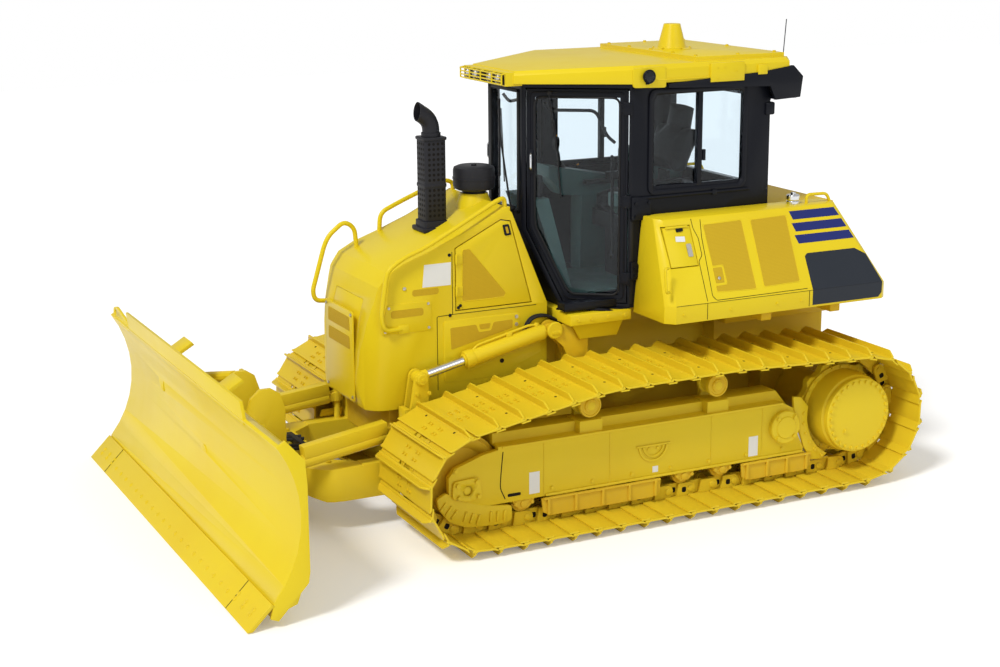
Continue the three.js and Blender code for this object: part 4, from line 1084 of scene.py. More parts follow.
def both_sides(
    stem: str, pieces: Iterable[Object], finish: str, body: str = "chassis", node: str = ""
) -> None:
    """Joins left-hand pieces, and dresses the whole and its mirror copy.

    Args:
        stem: The name without its side.
        pieces: The left-hand pieces.
        finish: The finish of both.
        body: The body, or the body's stem when it ends with an underscore.
        node: The stem of the frame nodes that both stand for, if any.
    """
    left = joined(f"{stem}_left", pieces)
    right = mirrored(left, f"{stem}_right")
    for piece, side in ((left, Side.LEFT), (right, Side.RIGHT)):
        dress(piece, finish, body + side.word if body.endswith("_") else body)
        if node:
            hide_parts(f"{node}_{side.word}")


def refined_pair(
    node: str, stem: str, width: float, finish: str, body: str = "chassis", segments: int = 2
) -> None:
    """Refines and dresses a left and a right frame node.

    Args:
        node: The stem of the nodes.
        stem: The stem of the new pieces.
        width: The radius of their edges.
        finish: The finish of both.
        body: The body, or the body's stem when it ends with an underscore.
        segments: The steps of each edge's round.
    """
    for side in Side:
        piece = refined(f"{node}_{side.word}", f"{stem}_{side.word}", width, segments)
        dress(piece, finish, body + side.word if body.endswith("_") else body)


# ---- undercarriage


@dataclass
class Track:
    """One track's chain and shoes, built on the left and mirrored."""

    middle: float = 1.065
    half_width: float = 0.43
    shoes: int = 46
    link_height: float = 0.095
    shoe_thickness: float = 0.014
    grouser_height: float = 0.057
    wheels: tuple[Triple, ...] = (
        (-0.93, 0.467, 0.301),
        (2.208, 0.535, 0.369),
        (1.085, 0.862, 0.089),
        (0.04, 0.852, 0.089),
    )

    def line(self, offset: float, step: float) -> Flat:
        """The closed line round all wheels.

        Args:
            offset: Its distance outside the rail.
            step: The most degrees between two points on a wheel.

        Returns:
            The line's points as (y, z).
        """
        wheels = [(y, z, r + offset) for y, z, r in self.wheels]
        normals = []
        for (y0, z0, r0), (y1, z1, r1) in zip(wheels, wheels[1:] + wheels[:1]):
            reach = math.hypot(y1 - y0, z1 - z0)
            normals.append(math.atan2(z1 - z0, y1 - y0) - math.acos((r0 - r1) / reach))
        points = []
        for i, (y, z, r) in enumerate(wheels):
            sweep = (normals[i] - normals[i - 1]) % (2 * math.pi)
            steps = max(1, math.ceil(math.degrees(sweep) / step))
            start = math.degrees(normals[i - 1])
            points += arc((y, z), r, start, start + math.degrees(sweep), steps)
        return points

    def pins(self) -> list[Vector]:
        """The chain's pins at equal steps along its line, as (y, z)."""
        line = [Vector(p) for p in self.line(self.link_height / 2, 3)]
        spans = [(line[(i + 1) % len(line)] - p).length for i, p in enumerate(line)]
        total = sum(spans)
        found: list[Vector] = []
        segment = 0
        passed = 0.0
        for i in range(self.shoes):
            goal = total * i / self.shoes
            while passed + spans[segment] < goal:
                passed += spans[segment]
                segment += 1
            share = (goal - passed) / spans[segment]
            found.append(line[segment].lerp(line[(segment + 1) % len(line)], share))
        return found

    def shoe(self, pitch: float) -> Object:
        """One shoe lying flat, its pin at the origin and its outside upwards.

        Args:
            pitch: The chain's pitch.

        Returns:
            The shoe with its bolts.
        """
        base = self.link_height / 2
        top = base + self.shoe_thickness
        tip = top + self.grouser_height
        profile = [
            (-0.004, base + 0.004),
            (0.01, base),
            (pitch - 0.022, base),
            (pitch - 0.006, base + 0.009),
            (pitch + 0.002, base + 0.016),
            (pitch - 0.004, top + 0.007),
            (pitch - 0.03, top),
            (0.036, top),
            (0.029, top + 0.008),
            (0.004, top + 0.008),
            (-0.004, top),
        ]
        half = self.half_width
        body = plate("shoe", profile, X, -half, half, 0.0022, 1)
        ridge = [
            (-half, top), (half, top), (half, top + 0.018), (half - 0.055, tip), (0.055 - half, tip),
            (-half, top + 0.018),
        ]
        grouser = plate("grouser", ridge, Y, 0.01, 0.024, 0.003, 1)
        lips = []
        for low, high in ((-half + 0.002, -0.12), (0.12, half - 0.002)):
            lips.append(block("lip", (low, pitch - 0.03, base - 0.013), (high, pitch + 0.036, base - 0.002)))
        places = [(x, y, top) for x in (-0.098, -0.058, 0.058, 0.098) for y in (pitch * 0.44, pitch * 0.72)]
        heads = bolt_heads("shoe_bolts", places, Z, 0.01, 0.01)
        return joined("shoe_whole", [body, grouser, *lips, heads])

    def holes(self, pitch: float) -> Object:
        """Discs of painted shade in the holes of one pair of links and in the mud holes of its shoe."""
        top = self.link_height / 2 + self.shoe_thickness
        dark = []
        for sign in (-1, 1):
            for centre in (0.062, pitch - 0.05):
                outline = rounded_box(centre - 0.018, centre + 0.018, -0.018, 0.022, 0.01, 2)
                side = 0.0985 if centre > 0.1 else 0.0715
                dark.append(plate("hole", outline, X, sign * (side - 0.002), sign * side))
            place = (sign * 0.225, 0.046)
            dark.append(bar("mud", (*place, top - 0.001), (*place, top + 0.0008), 0.01, 8))
        return joined("hole_pair", dark)

    def link(self, pitch: float) -> Object:
        """One pair of links with its pin and bush, lying like the shoe."""
        half = self.link_height / 2
        near = arc((0, 0), half, 90, 270, 6) + [(pitch * 0.62, -half), (pitch * 0.5, half)]
        far = [(pitch * 0.42, half), (pitch * 0.5, -half)] + arc((pitch, 0), half, -90, 90, 6)
        plates = []
        for sign in (-1, 1):
            plates.append(plate("near", near, X, sign * 0.048, sign * 0.071, 0.002, 1))
            plates.append(plate("far", far, X, sign * 0.074, sign * 0.098, 0.002, 1))
        pin = bar("pin", (-0.106, 0, 0), (0.106, 0, 0), 0.024, 14, 0.003)
        bush = bar("bush", (-0.05, 0, 0), (0.05, 0, 0), 0.034, 14)
        return joined("link_whole", [*plates, pin, bush])

    def build(self) -> None:
        """Builds both tracks."""
        pins = self.pins()
        places = []
        for pin, following in zip(pins, pins[1:] + pins[:1]):
            y, z = (following - pin).normalized()
            places.append(Matrix((
                (-1, 0, 0, self.middle), (0, y, z, pin.x), (0, z, -y, pin.y), (0, 0, 0, 1)
            )))
        pitch = (pins[1] - pins[0]).length
        shoes = repeated("shoes", self.shoe(pitch), places)
        links = repeated("links", self.link(pitch), places)
        # discs of painted shade where the links and shoes have holes
        both_sides("link_holes", [repeated("holes", self.holes(pitch), places[::2])], "dark_hole")
        both_sides("track_run", [shoes, links], "track_yellow", node="track")


@dataclass
class Undercarriage:
    """Idlers, rollers, final drives and track frames around the chains."""

    middle: float = 1.065
    outer: float = 1.197
    idler: tuple[float, float] = (-0.93, 0.467)
    sprocket: tuple[float, float] = (2.208, 0.535)
    pivot: tuple[float, float] = (1.64, 0.489)
    rollers: int = 8
    first_roller: float = -0.496
    last_roller: float = 1.767
    teeth: int = 13
    tooth: tuple[tuple[float, float], ...] = (
        (-0.32, 0.334), (-0.22, 0.345), (-0.1, 0.362), (0.1, 0.362), (0.22, 0.345), (0.32, 0.334),
        (0.5, 0.33),
    )
    cover_bolts: int = 28

    def idlers(self) -> None:
        """Turns the idler wheels with their raised middle."""
        profile = two_faced([
            (0.0, 0.085), (0.062, 0.085), (0.072, 0.075), (0.074, 0.026), (0.21, 0.016), (0.236, 0.04),
            (0.262, 0.05), (0.29, 0.05), (0.296, 0.044), (0.296, 0.03), (0.318, 0.024),
        ])
        y, z = self.idler
        wheel = turned("idler_wheel", [(r * 0.94, x) for r, x in profile], (self.middle, y, z), X, 56)
        both_sides("idler_wheel", [wheel], "under_yellow", node="idler")

    def drives(self) -> None:
        """Builds the sprockets, their hubs and the bolted covers."""
        y, z = self.sprocket
        x = self.middle
        outline = []
        for i in range(self.teeth):
            turn = 360 * i / self.teeth
            for share, radius in self.tooth:
                angle = turn + share * 360 / self.teeth
                outline += arc((y, z), radius, angle, angle, 1)[:1]
        gear = plate("gear", outline, X, x - 0.03, x + 0.03, 0.003, 1)
        hub_profile = [
            (0.0, -0.05), (0.245, -0.05), (0.262, 0.03), (0.33, 0.034), (0.33, 0.052), (0.3, 0.058),
            (0.296, 0.19), (0.29, 0.225), (0.276, 0.236), (0.273, 0.244), (0.281, 0.25), (0.281, 0.284),
            (0.274, 0.291), (0.1, 0.296), (0.0, 0.296),
        ]
        hub = turned("hub", hub_profile, (x, y, z), X, 72)
        neck = bar("neck", (0.5555, y, z), (x, y, z), 0.19, 40)
        rim = bolt_heads("rim", bolt_ring((x + 0.29, y, z), X, 0.252, self.cover_bolts), X, 0.014, 0.014)
        lower = bolt_heads("lower", bolt_ring((x + 0.051, y, z), X, 0.315, 24), X, 0.01, 0.012)
        plug = bolt_heads("plug", [(x + 0.295, y - 0.12, z - 0.11)], X, 0.016, 0.01)
        both_sides("drive", [gear, hub, neck, rim, lower, plug], "frame_yellow", node="final_drive")

    def roller_places(self) -> list[float]:
        """Where the rollers stand along the track."""
        step = (self.last_roller - self.first_roller) / (self.rollers - 1)
        return [self.first_roller + step * i for i in range(self.rollers)]

    def bottom_rollers(self) -> None:
        """Turns the rollers and hangs their guards."""
        z = 0.166 + 0.078
        x = self.middle
        profile = two_faced([
            (0.0, 0.118), (0.034, 0.118), (0.04, 0.112), (0.042, 0.094), (0.078, 0.088), (0.078, 0.045),
            (0.064, 0.038),
        ])
        wheels = []
        for i, y in enumerate(self.roller_places()):
            wheels.append(turned(f"roller_{i}", profile, (x, y, z), X, 24))
            foot = [
                (y - 0.085, 0.262), (y + 0.085, 0.262), (y + 0.07, 0.228), (y + 0.034, 0.196),
                (y - 0.034, 0.196), (y - 0.07, 0.228),
            ]
            for sign in (-1, 1):
                wheels.append(plate("foot", foot, X, x + sign * 0.098, x + sign * 0.13, 0.004, 1))
            wheels.append(bolt_heads(
                "feet", [(x + 0.13, y + d, 0.24) for d in (-0.062, 0.062)], X, 0.013, 0.012
            ))
            wheels.append(bar("boss", (x + 0.12, y, z - 0.012), (x + 0.141, y, z - 0.012), 0.026, 20, 0.003))
        for low, high, count in ((-0.364, 0.595, 5), (1.275, 1.9, 4)):
            outline = [
                (low, 0.252), (high, 0.252), (high - 0.01, 0.15), (high - 0.07, 0.12), (low + 0.07, 0.12),
                (low + 0.01, 0.15),
            ]
            guard = plate("guard", outline, X, x + 0.132, x + 0.146, 0.003, 1)
            ribs = []
            for k in range(count):
                y = low + 0.05 + (high - low - 0.1) * k / (count - 1)
                ribs.append(block("rib", (x + 0.14, y - 0.01, 0.13), (x + 0.162, y + 0.01, 0.246), 0.003, 1))
            rail = block("rail", (x + 0.14, low + 0.01, 0.24), (x + 0.16, high - 0.01, 0.256), 0.003, 1)
            wheels += [guard, *ribs, rail]
        # the rollers and guards take the darker yellow, painted shade for the parts low down
        both_sides("rollers", wheels, "under_yellow", node="bottom_rollers")

    def frame_parts(self) -> None:
        """Adds the covers, rings, plates and bolts on the outside of the track frames."""
        x = self.outer
        y, z = self.pivot
        disc = turned(
            "pivot_disc",
            [
                (0.0, 0.0), (0.125, 0.0), (0.125, 0.012), (0.118, 0.018), (0.085, 0.018), (0.078, 0.026),
                (0.0, 0.026),
            ],
            (x + 0.03, y, z), X, 48,
        )
        disc_bolts = bolt_heads("disc_bolts", bolt_ring((x + 0.048, y, z), X, 0.102, 4, 45), X, 0.014, 0.013)
        both_sides("pivot_cover", [disc, disc_bolts], "frame_yellow")
        ring = []
        for radius, thick in ((0.122, 0.016), (0.088, 0.012)):
            outline = arc((0.53, 0.506), radius, 180, 360, 20) + arc(
                (0.53, 0.506), radius - thick, 360, 180, 20
            )
            ring.append(plate("ring", outline, X, x, x + 0.012, 0.003, 2))
        ring.append(block("ring_top", (x, 0.39, 0.498), (x + 0.012, 0.67, 0.512), 0.003))
        for dy in (-0.035, 0.035):
            ring.append(bar("dot", (x, 0.53 + dy, 0.478), (x + 0.01, 0.53 + dy, 0.478), 0.011, 16, 0.002))
        both_sides("half_ring", ring, "frame_yellow")
        yoke = softened(
            [(-1.035, 0.475), (-0.838, 0.485), (-0.82, 0.33), (-0.94, 0.322), (-1.045, 0.36)], 0.04
        )
        cap = plate("cap", yoke, X, x, x + 0.022, 0.004)
        hub = (-0.928, 0.398)
        hole = bar("hole", (x - 0.02, *hub), (x + 0.05, *hub), 0.036, 28)
        cut_away(cap, hole)
        places = [
            (x + 0.022, -1.005, 0.448), (x + 0.022, -0.862, 0.457), (x + 0.022, -0.85, 0.352),
            (x + 0.022, -0.995, 0.362),
        ]
        places.append((x + 0.001, -1.01, 0.545))
        heads = bolt_heads("heads", places, X, 0.016, 0.015)
        plug = bar("plug", (x - 0.02, *hub), (x + 0.01, *hub), 0.028, 28, 0.004)
        both_sides("yoke_cap", [cap, heads, plug], "frame_yellow")
        labels = [
            block("label_front", (x, -0.455, 0.295), (x + 0.0015, -0.375, 0.45)),
            block("label_rear", (x, 1.345, 0.295), (x + 0.0015, 1.425, 0.445)),
            block("label_small", (x, 0.53, 0.3), (x + 0.0015, 0.575, 0.345)),
        ]
        both_sides("frame_labels", labels, "label_white")
        seam = []
        for y0 in (-0.34, 0.18, 1.02, 1.46):
            seam.append(block("seam", (x, y0 - 0.004, 0.275), (x + 0.004, y0 + 0.004, 0.655), 0.0015, 1))
        seam.append(block("edge", (x, -0.66, 0.652), (x + 0.01, 1.63, 0.668), 0.003))
        seam.append(block("foot", (x, -0.33, 0.262), (x + 0.012, 1.82, 0.28), 0.003))
        seam.append(bolt_heads("row", [(x, -0.28 + 0.32 * k, 0.315) for k in range(7)], X, 0.013, 0.012))
        both_sides("frame_trim", seam, "frame_yellow")
        # painted shade in the gap round the idler yoke and in its slot
        gap = [
            (x + 0.0005, -0.654, 0.628), (x + 0.0005, -0.668, 0.5), (x + 0.0005, -0.678, 0.375),
            (x + 0.0005, -0.64, 0.29),
        ]
        slot = plate("slot", rounded_box(-0.62, -0.52, 0.3, 0.322, 0.008), X, x - 0.001, x + 0.0015)
        both_sides("yoke_gap", [tube("gap", gap, 0.0035, 0.03, 2), slot], "dark_hole")

    def front_guards(self) -> None:
        """Adds the scalloped guards below the idlers and the castings ahead of the sprockets."""
        x = self.outer
        outline = softened(
            [
                (-1.15, 0.365), (-1.135, 0.29), (-1.06, 0.19), (-0.93, 0.13), (-0.7, 0.115),
                (-0.588, 0.13), (-0.588, 0.239), (-0.76, 0.262), (-0.88, 0.292), (-1.0, 0.345), (-1.08, 0.4),
            ],
            0.03,
        )
        parts = [plate("guard", outline, X, x - 0.03, x + 0.002, 0.004)]
        for y, z, turn in ((-1.065, 0.275, -38), (-0.895, 0.195, -20), (-0.7, 0.18, -4)):
            swing = math.radians(turn)
            for k in (-1, 0, 1):
                reach = 0.052 * k
                cy, cz = y + reach * math.cos(swing), z + reach * math.sin(swing)
                rib = block("rib", (x, -0.008, -0.036), (x + 0.014, 0.008, 0.036), 0.003)
                rib.data.transform(Matrix.Translation((0, cy, cz)) @ Matrix.Rotation(swing, 4, "X"))
                parts.append(rib)
        both_sides("scallop_guard", parts, "frame_yellow")
        y, z = self.sprocket
        crescent = arc((y, z), 0.352, 168, 243, 12)
        crescent += [
            (2.0, 0.185), (1.905, 0.19), (1.835, 0.3), (1.78, 0.45), (1.735, 0.6), (1.725, 0.7),
            (1.79, 0.69),
        ]
        casting = plate("casting", crescent, X, x - 0.018, x + 0.008, 0.005)
        spots = [(x + 0.008, *p) for p in arc((y, z), 0.385, 176, 236, 5)]
        heads = bolt_heads("heads", spots, X, 0.011, 0.01)
        both_sides("sprocket_guard", [casting, heads], "frame_yellow")

    def carriers(self) -> None:
        """Turns the two upper rollers' outer faces."""
        pieces = []
        for y, z in ((1.085, 0.862), (0.04, 0.852)):
            face = [
                (0.0, 0.0), (0.083, 0.0), (0.083, 0.006), (0.07, 0.01), (0.066, 0.005), (0.05, 0.005),
                (0.046, 0.014), (0.026, 0.018), (0.022, 0.012), (0.0, 0.012),
            ]
            pieces.append(turned("face", face, (self.middle + 0.1, y, z), X, 40))
            pieces.append(bolt_heads(
                "bolts", bolt_ring((self.middle + 0.112, y, z), X, 0.034, 3, 20), X, 0.006, 0.006
            ))
        both_sides("carrier_faces", pieces, "under_yellow")

    def build(self) -> None:
        """Builds everything between the tracks' runs."""
        self.idlers()
        self.drives()
        self.bottom_rollers()
        refined_pair("track_frame", "track_rail", 0.006, "frame_yellow")
        self.frame_parts()
        self.front_guards()
        self.carriers()


# ---- hood


def seam(name: str, points: Sequence[Point], width: float = 0.0022) -> Object:
    """Makes a thin line of painted shade along a path, for the gap round a panel."""
    return tube(name, points, width, 0.012, 1)


@dataclass
class Hood:
    """The engine hood with its doors, vents, plugs, exhaust, pre-cleaner and rails."""

    side: float = 0.47
    front: float = -1.346
    door_vent: tuple[tuple[float, float], ...] = (
        (-0.6, 1.888), (-0.545, 1.89), (-0.262, 1.548), (-0.275, 1.52), (-0.606, 1.518)
    )
    rail_radius: float = 0.017
    stack_y: float = -0.615
    stack_half: float = 0.082
    cleaner_y: float = -0.28

    def shell(self) -> None:
        """Rounds the hood, its nose panel and its doors."""
        dress(refined("hood", "hood_shell", 0.007), "body_yellow")
        dress(refined("front_grille_panel", "nose_panel", 0.004), "body_yellow")
        refined_pair("hood_door", "engine_door", 0.004, "body_yellow", "hood_door_")
        dress(refined("engine_block", "engine_mass", 0.01), "stack_black")

    def doors(self) -> None:
        """Adds the vents and latches of the engine doors."""
        x = self.side
        outline = softened(self.door_vent, 0.02)
        vent = plate("vent", outline, X, x - 0.002, x + 0.0012)
        both_sides("door_vent", [vent], "vent_mustard", "hood_door_")
        rim = tube("rim", [(x + 0.001, *p) for p in outline + outline[:1]], 0.0025, 0.004, 2)
        both_sides("door_vent_rim", [rim], "body_yellow", "hood_door_")
        frame_line = softened([(-0.288, 2.037), (-0.238, 2.04), (-0.218, 1.962), (-0.268, 1.957)], 0.01)
        latch = plate("latch", frame_line, X, x, x + 0.006, 0.002)
        corner = bar("corner", (x, -0.62, 1.492), (x + 0.008, -0.62, 1.492), 0.011, 16, 0.002)
        both_sides("door_latch", [latch, corner], "cab_black", "hood_door_")
        key = plate(
            "key", softened([(-0.268, 2.022), (-0.25, 2.023), (-0.238, 1.976), (-0.256, 1.974)], 0.006),
            X, x + 0.005, x + 0.0085,
        )
        both_sides("door_key", [key], "vent_mustard", "hood_door_")

    def lower_panel(self) -> None:
        """Adds the bolted lower panels with their vents and hand holes."""
        x = self.side
        outline = softened([(-0.752, 0.945), (-0.155, 0.945), (-0.155, 1.393), (-0.752, 1.393)], 0.03)
        panel = plate("panel", outline, X, x - 0.004, x + 0.006, 0.002, 2)
        places = [(x + 0.006, y, z) for y, z in ((-0.182, 1.366), (-0.182, 1.31))]
        bolts = bolt_heads("bolts", places, X, 0.011, 0.01)
        both_sides("low_panel", [panel], "body_yellow")
        both_sides("low_bolts", [bolts], "zinc")
        grid = [
            (-0.696, 1.182), (-0.215, 1.288), (-0.212, 1.348), (-0.362, 1.346), (-0.385, 1.288),
            (-0.48, 1.285), (-0.502, 1.343), (-0.702, 1.339),
        ]
        vent = plate("vent", softened(grid, 0.012), X, x + 0.004, x + 0.0075)
        both_sides("low_vent", [vent], "vent_mustard")
        # painted shade in the recess of the hand pocket
        pocket = [(-0.478, 1.342), (-0.388, 1.342), (-0.398, 1.305), (-0.468, 1.304)]
        both_sides(
            "hand_pocket", [plate("pocket", softened(pocket, 0.01), X, x + 0.005, x + 0.0078)],
            "vent_mustard",
        )

    def nose_parts(self) -> None:
        """Adds the small bolted panel, slots, plugs, blank plates and louvres."""
        x = self.side
        outline = softened([(-1.225, 1.345), (-0.842, 1.343), (-0.845, 1.555), (-1.18, 1.55)], 0.025)
        panel = plate("panel", outline, X, x - 0.003, x + 0.005, 0.0018, 2)
        places = [
            (x + 0.005, y, z)
            for y, z in ((-1.195, 1.365), (-0.865, 1.364), (-0.868, 1.535), (-1.165, 1.53))
        ]
        bolts = bolt_heads("bolts", places, X, 0.008, 0.007)
        both_sides("nose_cover", [panel], "body_yellow")
        both_sides("nose_bolts", [bolts], "zinc")
        # slots with painted shade inside them
        slots = [plate("slot", rounded_box(-1.15, -0.905, 1.455, 1.51, 0.02), X, x + 0.004, x + 0.0066)]
        slots.append(plate("slot", rounded_box(-0.985, -0.785, 1.594, 1.64, 0.018), X, x - 0.001, x + 0.001))
        both_sides("nose_slots", slots, "vent_mustard")
        dots = [
            bar("dot", (x - 0.002, y, z), (x + 0.005, y, z), 0.012, 16, 0.002)
            for y, z in ((-0.7, 1.43), (-0.635, 1.478), (-0.7, 1.86))
        ]
        both_sides("plugs", dots, "cab_black")
        zinc = bar("dot", (x - 0.002, -1.044, 1.656), (x + 0.006, -1.044, 1.656), 0.013, 16, 0.002)
        both_sides("nose_plug", [zinc], "zinc")
        sign = plate(
            "sign", [(-0.908, 1.65), (-0.693, 1.648), (-0.688, 1.809), (-0.892, 1.808)], X, x, x + 0.0015
        )
        both_sides("blank_sign", [sign], "label_white")
        y = self.front
        cover = plate(
            "cover", rounded_box(-0.262, 0.262, 0.83, 1.478, 0.02, 3), Y, y - 0.005, y + 0.004, 0.002
        )
        dress(cover, "body_yellow")
        vents = []
        for low, high in ((1.335, 1.432), (1.202, 1.292)):
            outline = softened([(-0.205, low), (0.205, low), (0.198, high), (-0.198, high)], 0.015)
            vents.append(plate("vent", outline, Y, y - 0.008, y - 0.003))
        gathered("nose_vents", vents, "vent_mustard")
        corners = [(x0, y - 0.005, z0) for x0 in (-0.235, 0.235) for z0 in (0.86, 1.455)]
        dress(bolt_heads("cover_bolts", corners, Y, 0.01, -0.009), "zinc")
        wedge = softened(
            [
                (-0.57, 1.013), (-0.492, 0.973), (-0.277, 0.968), (0.02, 1.078), (0.005, 1.19),
                (-0.253, 1.106),
            ],
            0.02,
        )
        wedge_plate = plate("wedge", wedge, X, x, x + 0.007, 0.002)
        both_sides("lift_wedge", [wedge_plate], "body_yellow")
        both_sides(
            "wedge_bolt", [bolt_heads("wedge_bolt", [(x + 0.007, -0.3, 1.055)], X, 0.014, 0.004)],
            "cab_black",
        )

    def lines(self) -> None:
        """Draws the shut lines that are not cut into the shell, as painted shade in the gaps."""
        x = self.side + 0.0004
        runs = [
            [(x, -0.8, 0.9), (x, -0.8, 1.43), (x, -0.69, 1.435), (x, -0.02, 1.435)],
            [(x, -0.68, 1.435), (x, -0.68, 1.88)],
        ]
        both_sides("shut_lines", [seam("seam", run) for run in runs], "dark_hole")

    def stack(self) -> None:
        """Builds the exhaust: a punched guard on a flange, with a bent pipe above it."""
        y, half = self.stack_y, self.stack_half
        storeys = []
        for out, round_by, steps, low, high, bevel in (
            (0.0, 0.022, 4, 1.9, 2.62, 0.003),
            (0.033, 0.02, 3, 1.955, 1.985, 0.006),
            (0.013, 0.02, 3, 1.9, 2.03, 0.006),
            (0.008, 0.024, 4, 2.605, 2.628, 0.006),
            (0.004, 0.022, 4, 2.27, 2.295, 0.003),
        ):
            reach = half + out
            outline = rounded_box(-reach, reach, y - reach, y + reach, round_by, steps)
            storeys.append(plate("storey", outline, Z, low, high, bevel))
        stack = gathered("exhaust", storeys, "stack_black")
        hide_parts("exhaust_stack")
        holes = []
        for row in range(15):
            z = 2.07 + row * 0.0365
            if abs(z - 2.282) < 0.025:
                continue
            for k in range(4):
                place = -0.051 + k * 0.034
                for wall in (-half - 0.0002, half + 0.0002):
                    holes.append(
                        Matrix.Translation((place, y + wall, z)) @ Matrix.Rotation(math.pi / 2, 4, "X"),
                    )
                    holes.append(
                        Matrix.Translation((wall, y + place, z)) @ Matrix.Rotation(math.pi / 2, 4, "Y"),
                    )
        # discs of painted shade in the punched holes of the exhaust guard
        disc = bar("hole", (0, 0, -0.0006), (0, 0, 0.0006), 0.0105, 10)
        dress(repeated("guard_holes", disc, holes), "dark_hole")
        pipe = tube("pipe", [(0, y, 2.6), (0, y, 2.74), (0, y - 0.15, 2.84)], 0.062, 0.11, 7)
        edit_all(pipe)
        bpy.ops.mesh.bisect(plane_co=(0, y - 0.107, 2.79), plane_no=(0, -1, 0.15), clear_outer=True)
        deselect()
        wall = pipe.modifiers.new("wall", "SOLIDIFY")
        wall.thickness = 0.006
        choose(pipe)
        bpy.ops.object.modifier_apply(modifier=wall.name)
        collar = turned(
            "collar", [(0.06, 0), (0.07, 0.002), (0.07, 0.028), (0.06, 0.03)], (0, y, 2.628), Z, 32
        )
        gathered("exhaust_pipe", [smooth(pipe, 40), collar], "stack_black")

    def cleaner(self) -> None:
        """Turns the air pre-cleaner's drum, collar and neck."""
        y = self.cleaner_y
        drum = [
            (0.0, 2.395), (0.118, 2.398), (0.146, 2.386), (0.152, 2.366), (0.152, 2.262), (0.146, 2.236),
            (0.124, 2.224), (0.088, 2.222), (0.082, 2.196), (0.0, 2.196),
        ]
        body = turned("drum", drum, (0, y, 0), Z, 56)
        band = turned("band", [(0.15, 2.3), (0.156, 2.302), (0.156, 2.314), (0.15, 2.316)], (0, y, 0), Z, 56)
        knob = bar("knob", (0, y, 2.39), (0, y, 2.408), 0.02, 20, 0.004)
        whole = gathered("precleaner", [body, band, knob], "stack_black")
        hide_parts("air_precleaner")
        neck = turned(
            "neck", [(0.0, 2.05), (0.13, 2.05), (0.128, 2.13), (0.11, 2.165), (0.1, 2.2), (0.0, 2.2)],
            (0, y, 0), Z, 40,
        )
        dress(neck, "body_yellow")

    def rails(self) -> None:
        """Bends the three grab rails."""
        left = [
            (0.43, -0.25, 2.145), (0.43, -0.25, 2.225), (0.455, -0.33, 2.205), (0.495, -0.67, 2.047),
            (0.505, -0.9, 1.935), (0.505, -1.06, 1.88), (0.505, -1.185, 1.8), (0.505, -1.235, 1.48),
            (0.505, -1.215, 1.38), (0.465, -1.06, 1.37),
        ]
        right = [
            (-0.43, -0.25, 2.145), (-0.43, -0.25, 2.215), (-0.43, -0.33, 2.235), (-0.43, -0.68, 2.1),
            (-0.43, -0.84, 2.03), (-0.43, -0.85, 1.88),
        ]
        front = [
            (-0.33, -1.3, 1.44), (-0.33, -1.4, 1.45), (-0.33, -1.42, 1.52), (-0.33, -1.32, 1.85),
            (-0.33, -1.28, 1.92), (-0.33, -1.165, 2.01), (-0.33, -1.085, 1.96), (-0.33, -1.065, 1.74),
        ]
        rails = (
            ("rail_left", left, "hood_rail_left"),
            ("rail_right", right, "hood_rail_right"),
            ("rail_front", front, "front_grab_rail"),
        )
        for name, points, node in rails:
            piece = dress(tube(name, points, self.rail_radius, 0.06, 4), "body_yellow")
            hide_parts(node)
        feet = [block("foot", (0.462, -1.1, 1.34), (0.482, -1.02, 1.4), 0.004)]
        feet.append(block("foot", (0.4, -0.28, 2.13), (0.46, -0.22, 2.16), 0.004))
        gathered("rail_feet", feet, "body_yellow")

    def build(self) -> None:
        """Builds the hood and all that stands on it."""
        self.shell()
        self.doors()
        self.lower_panel()
        self.nose_parts()
        self.lines()
        self.stack()
        self.cleaner()
        self.rails()


# ---- cab


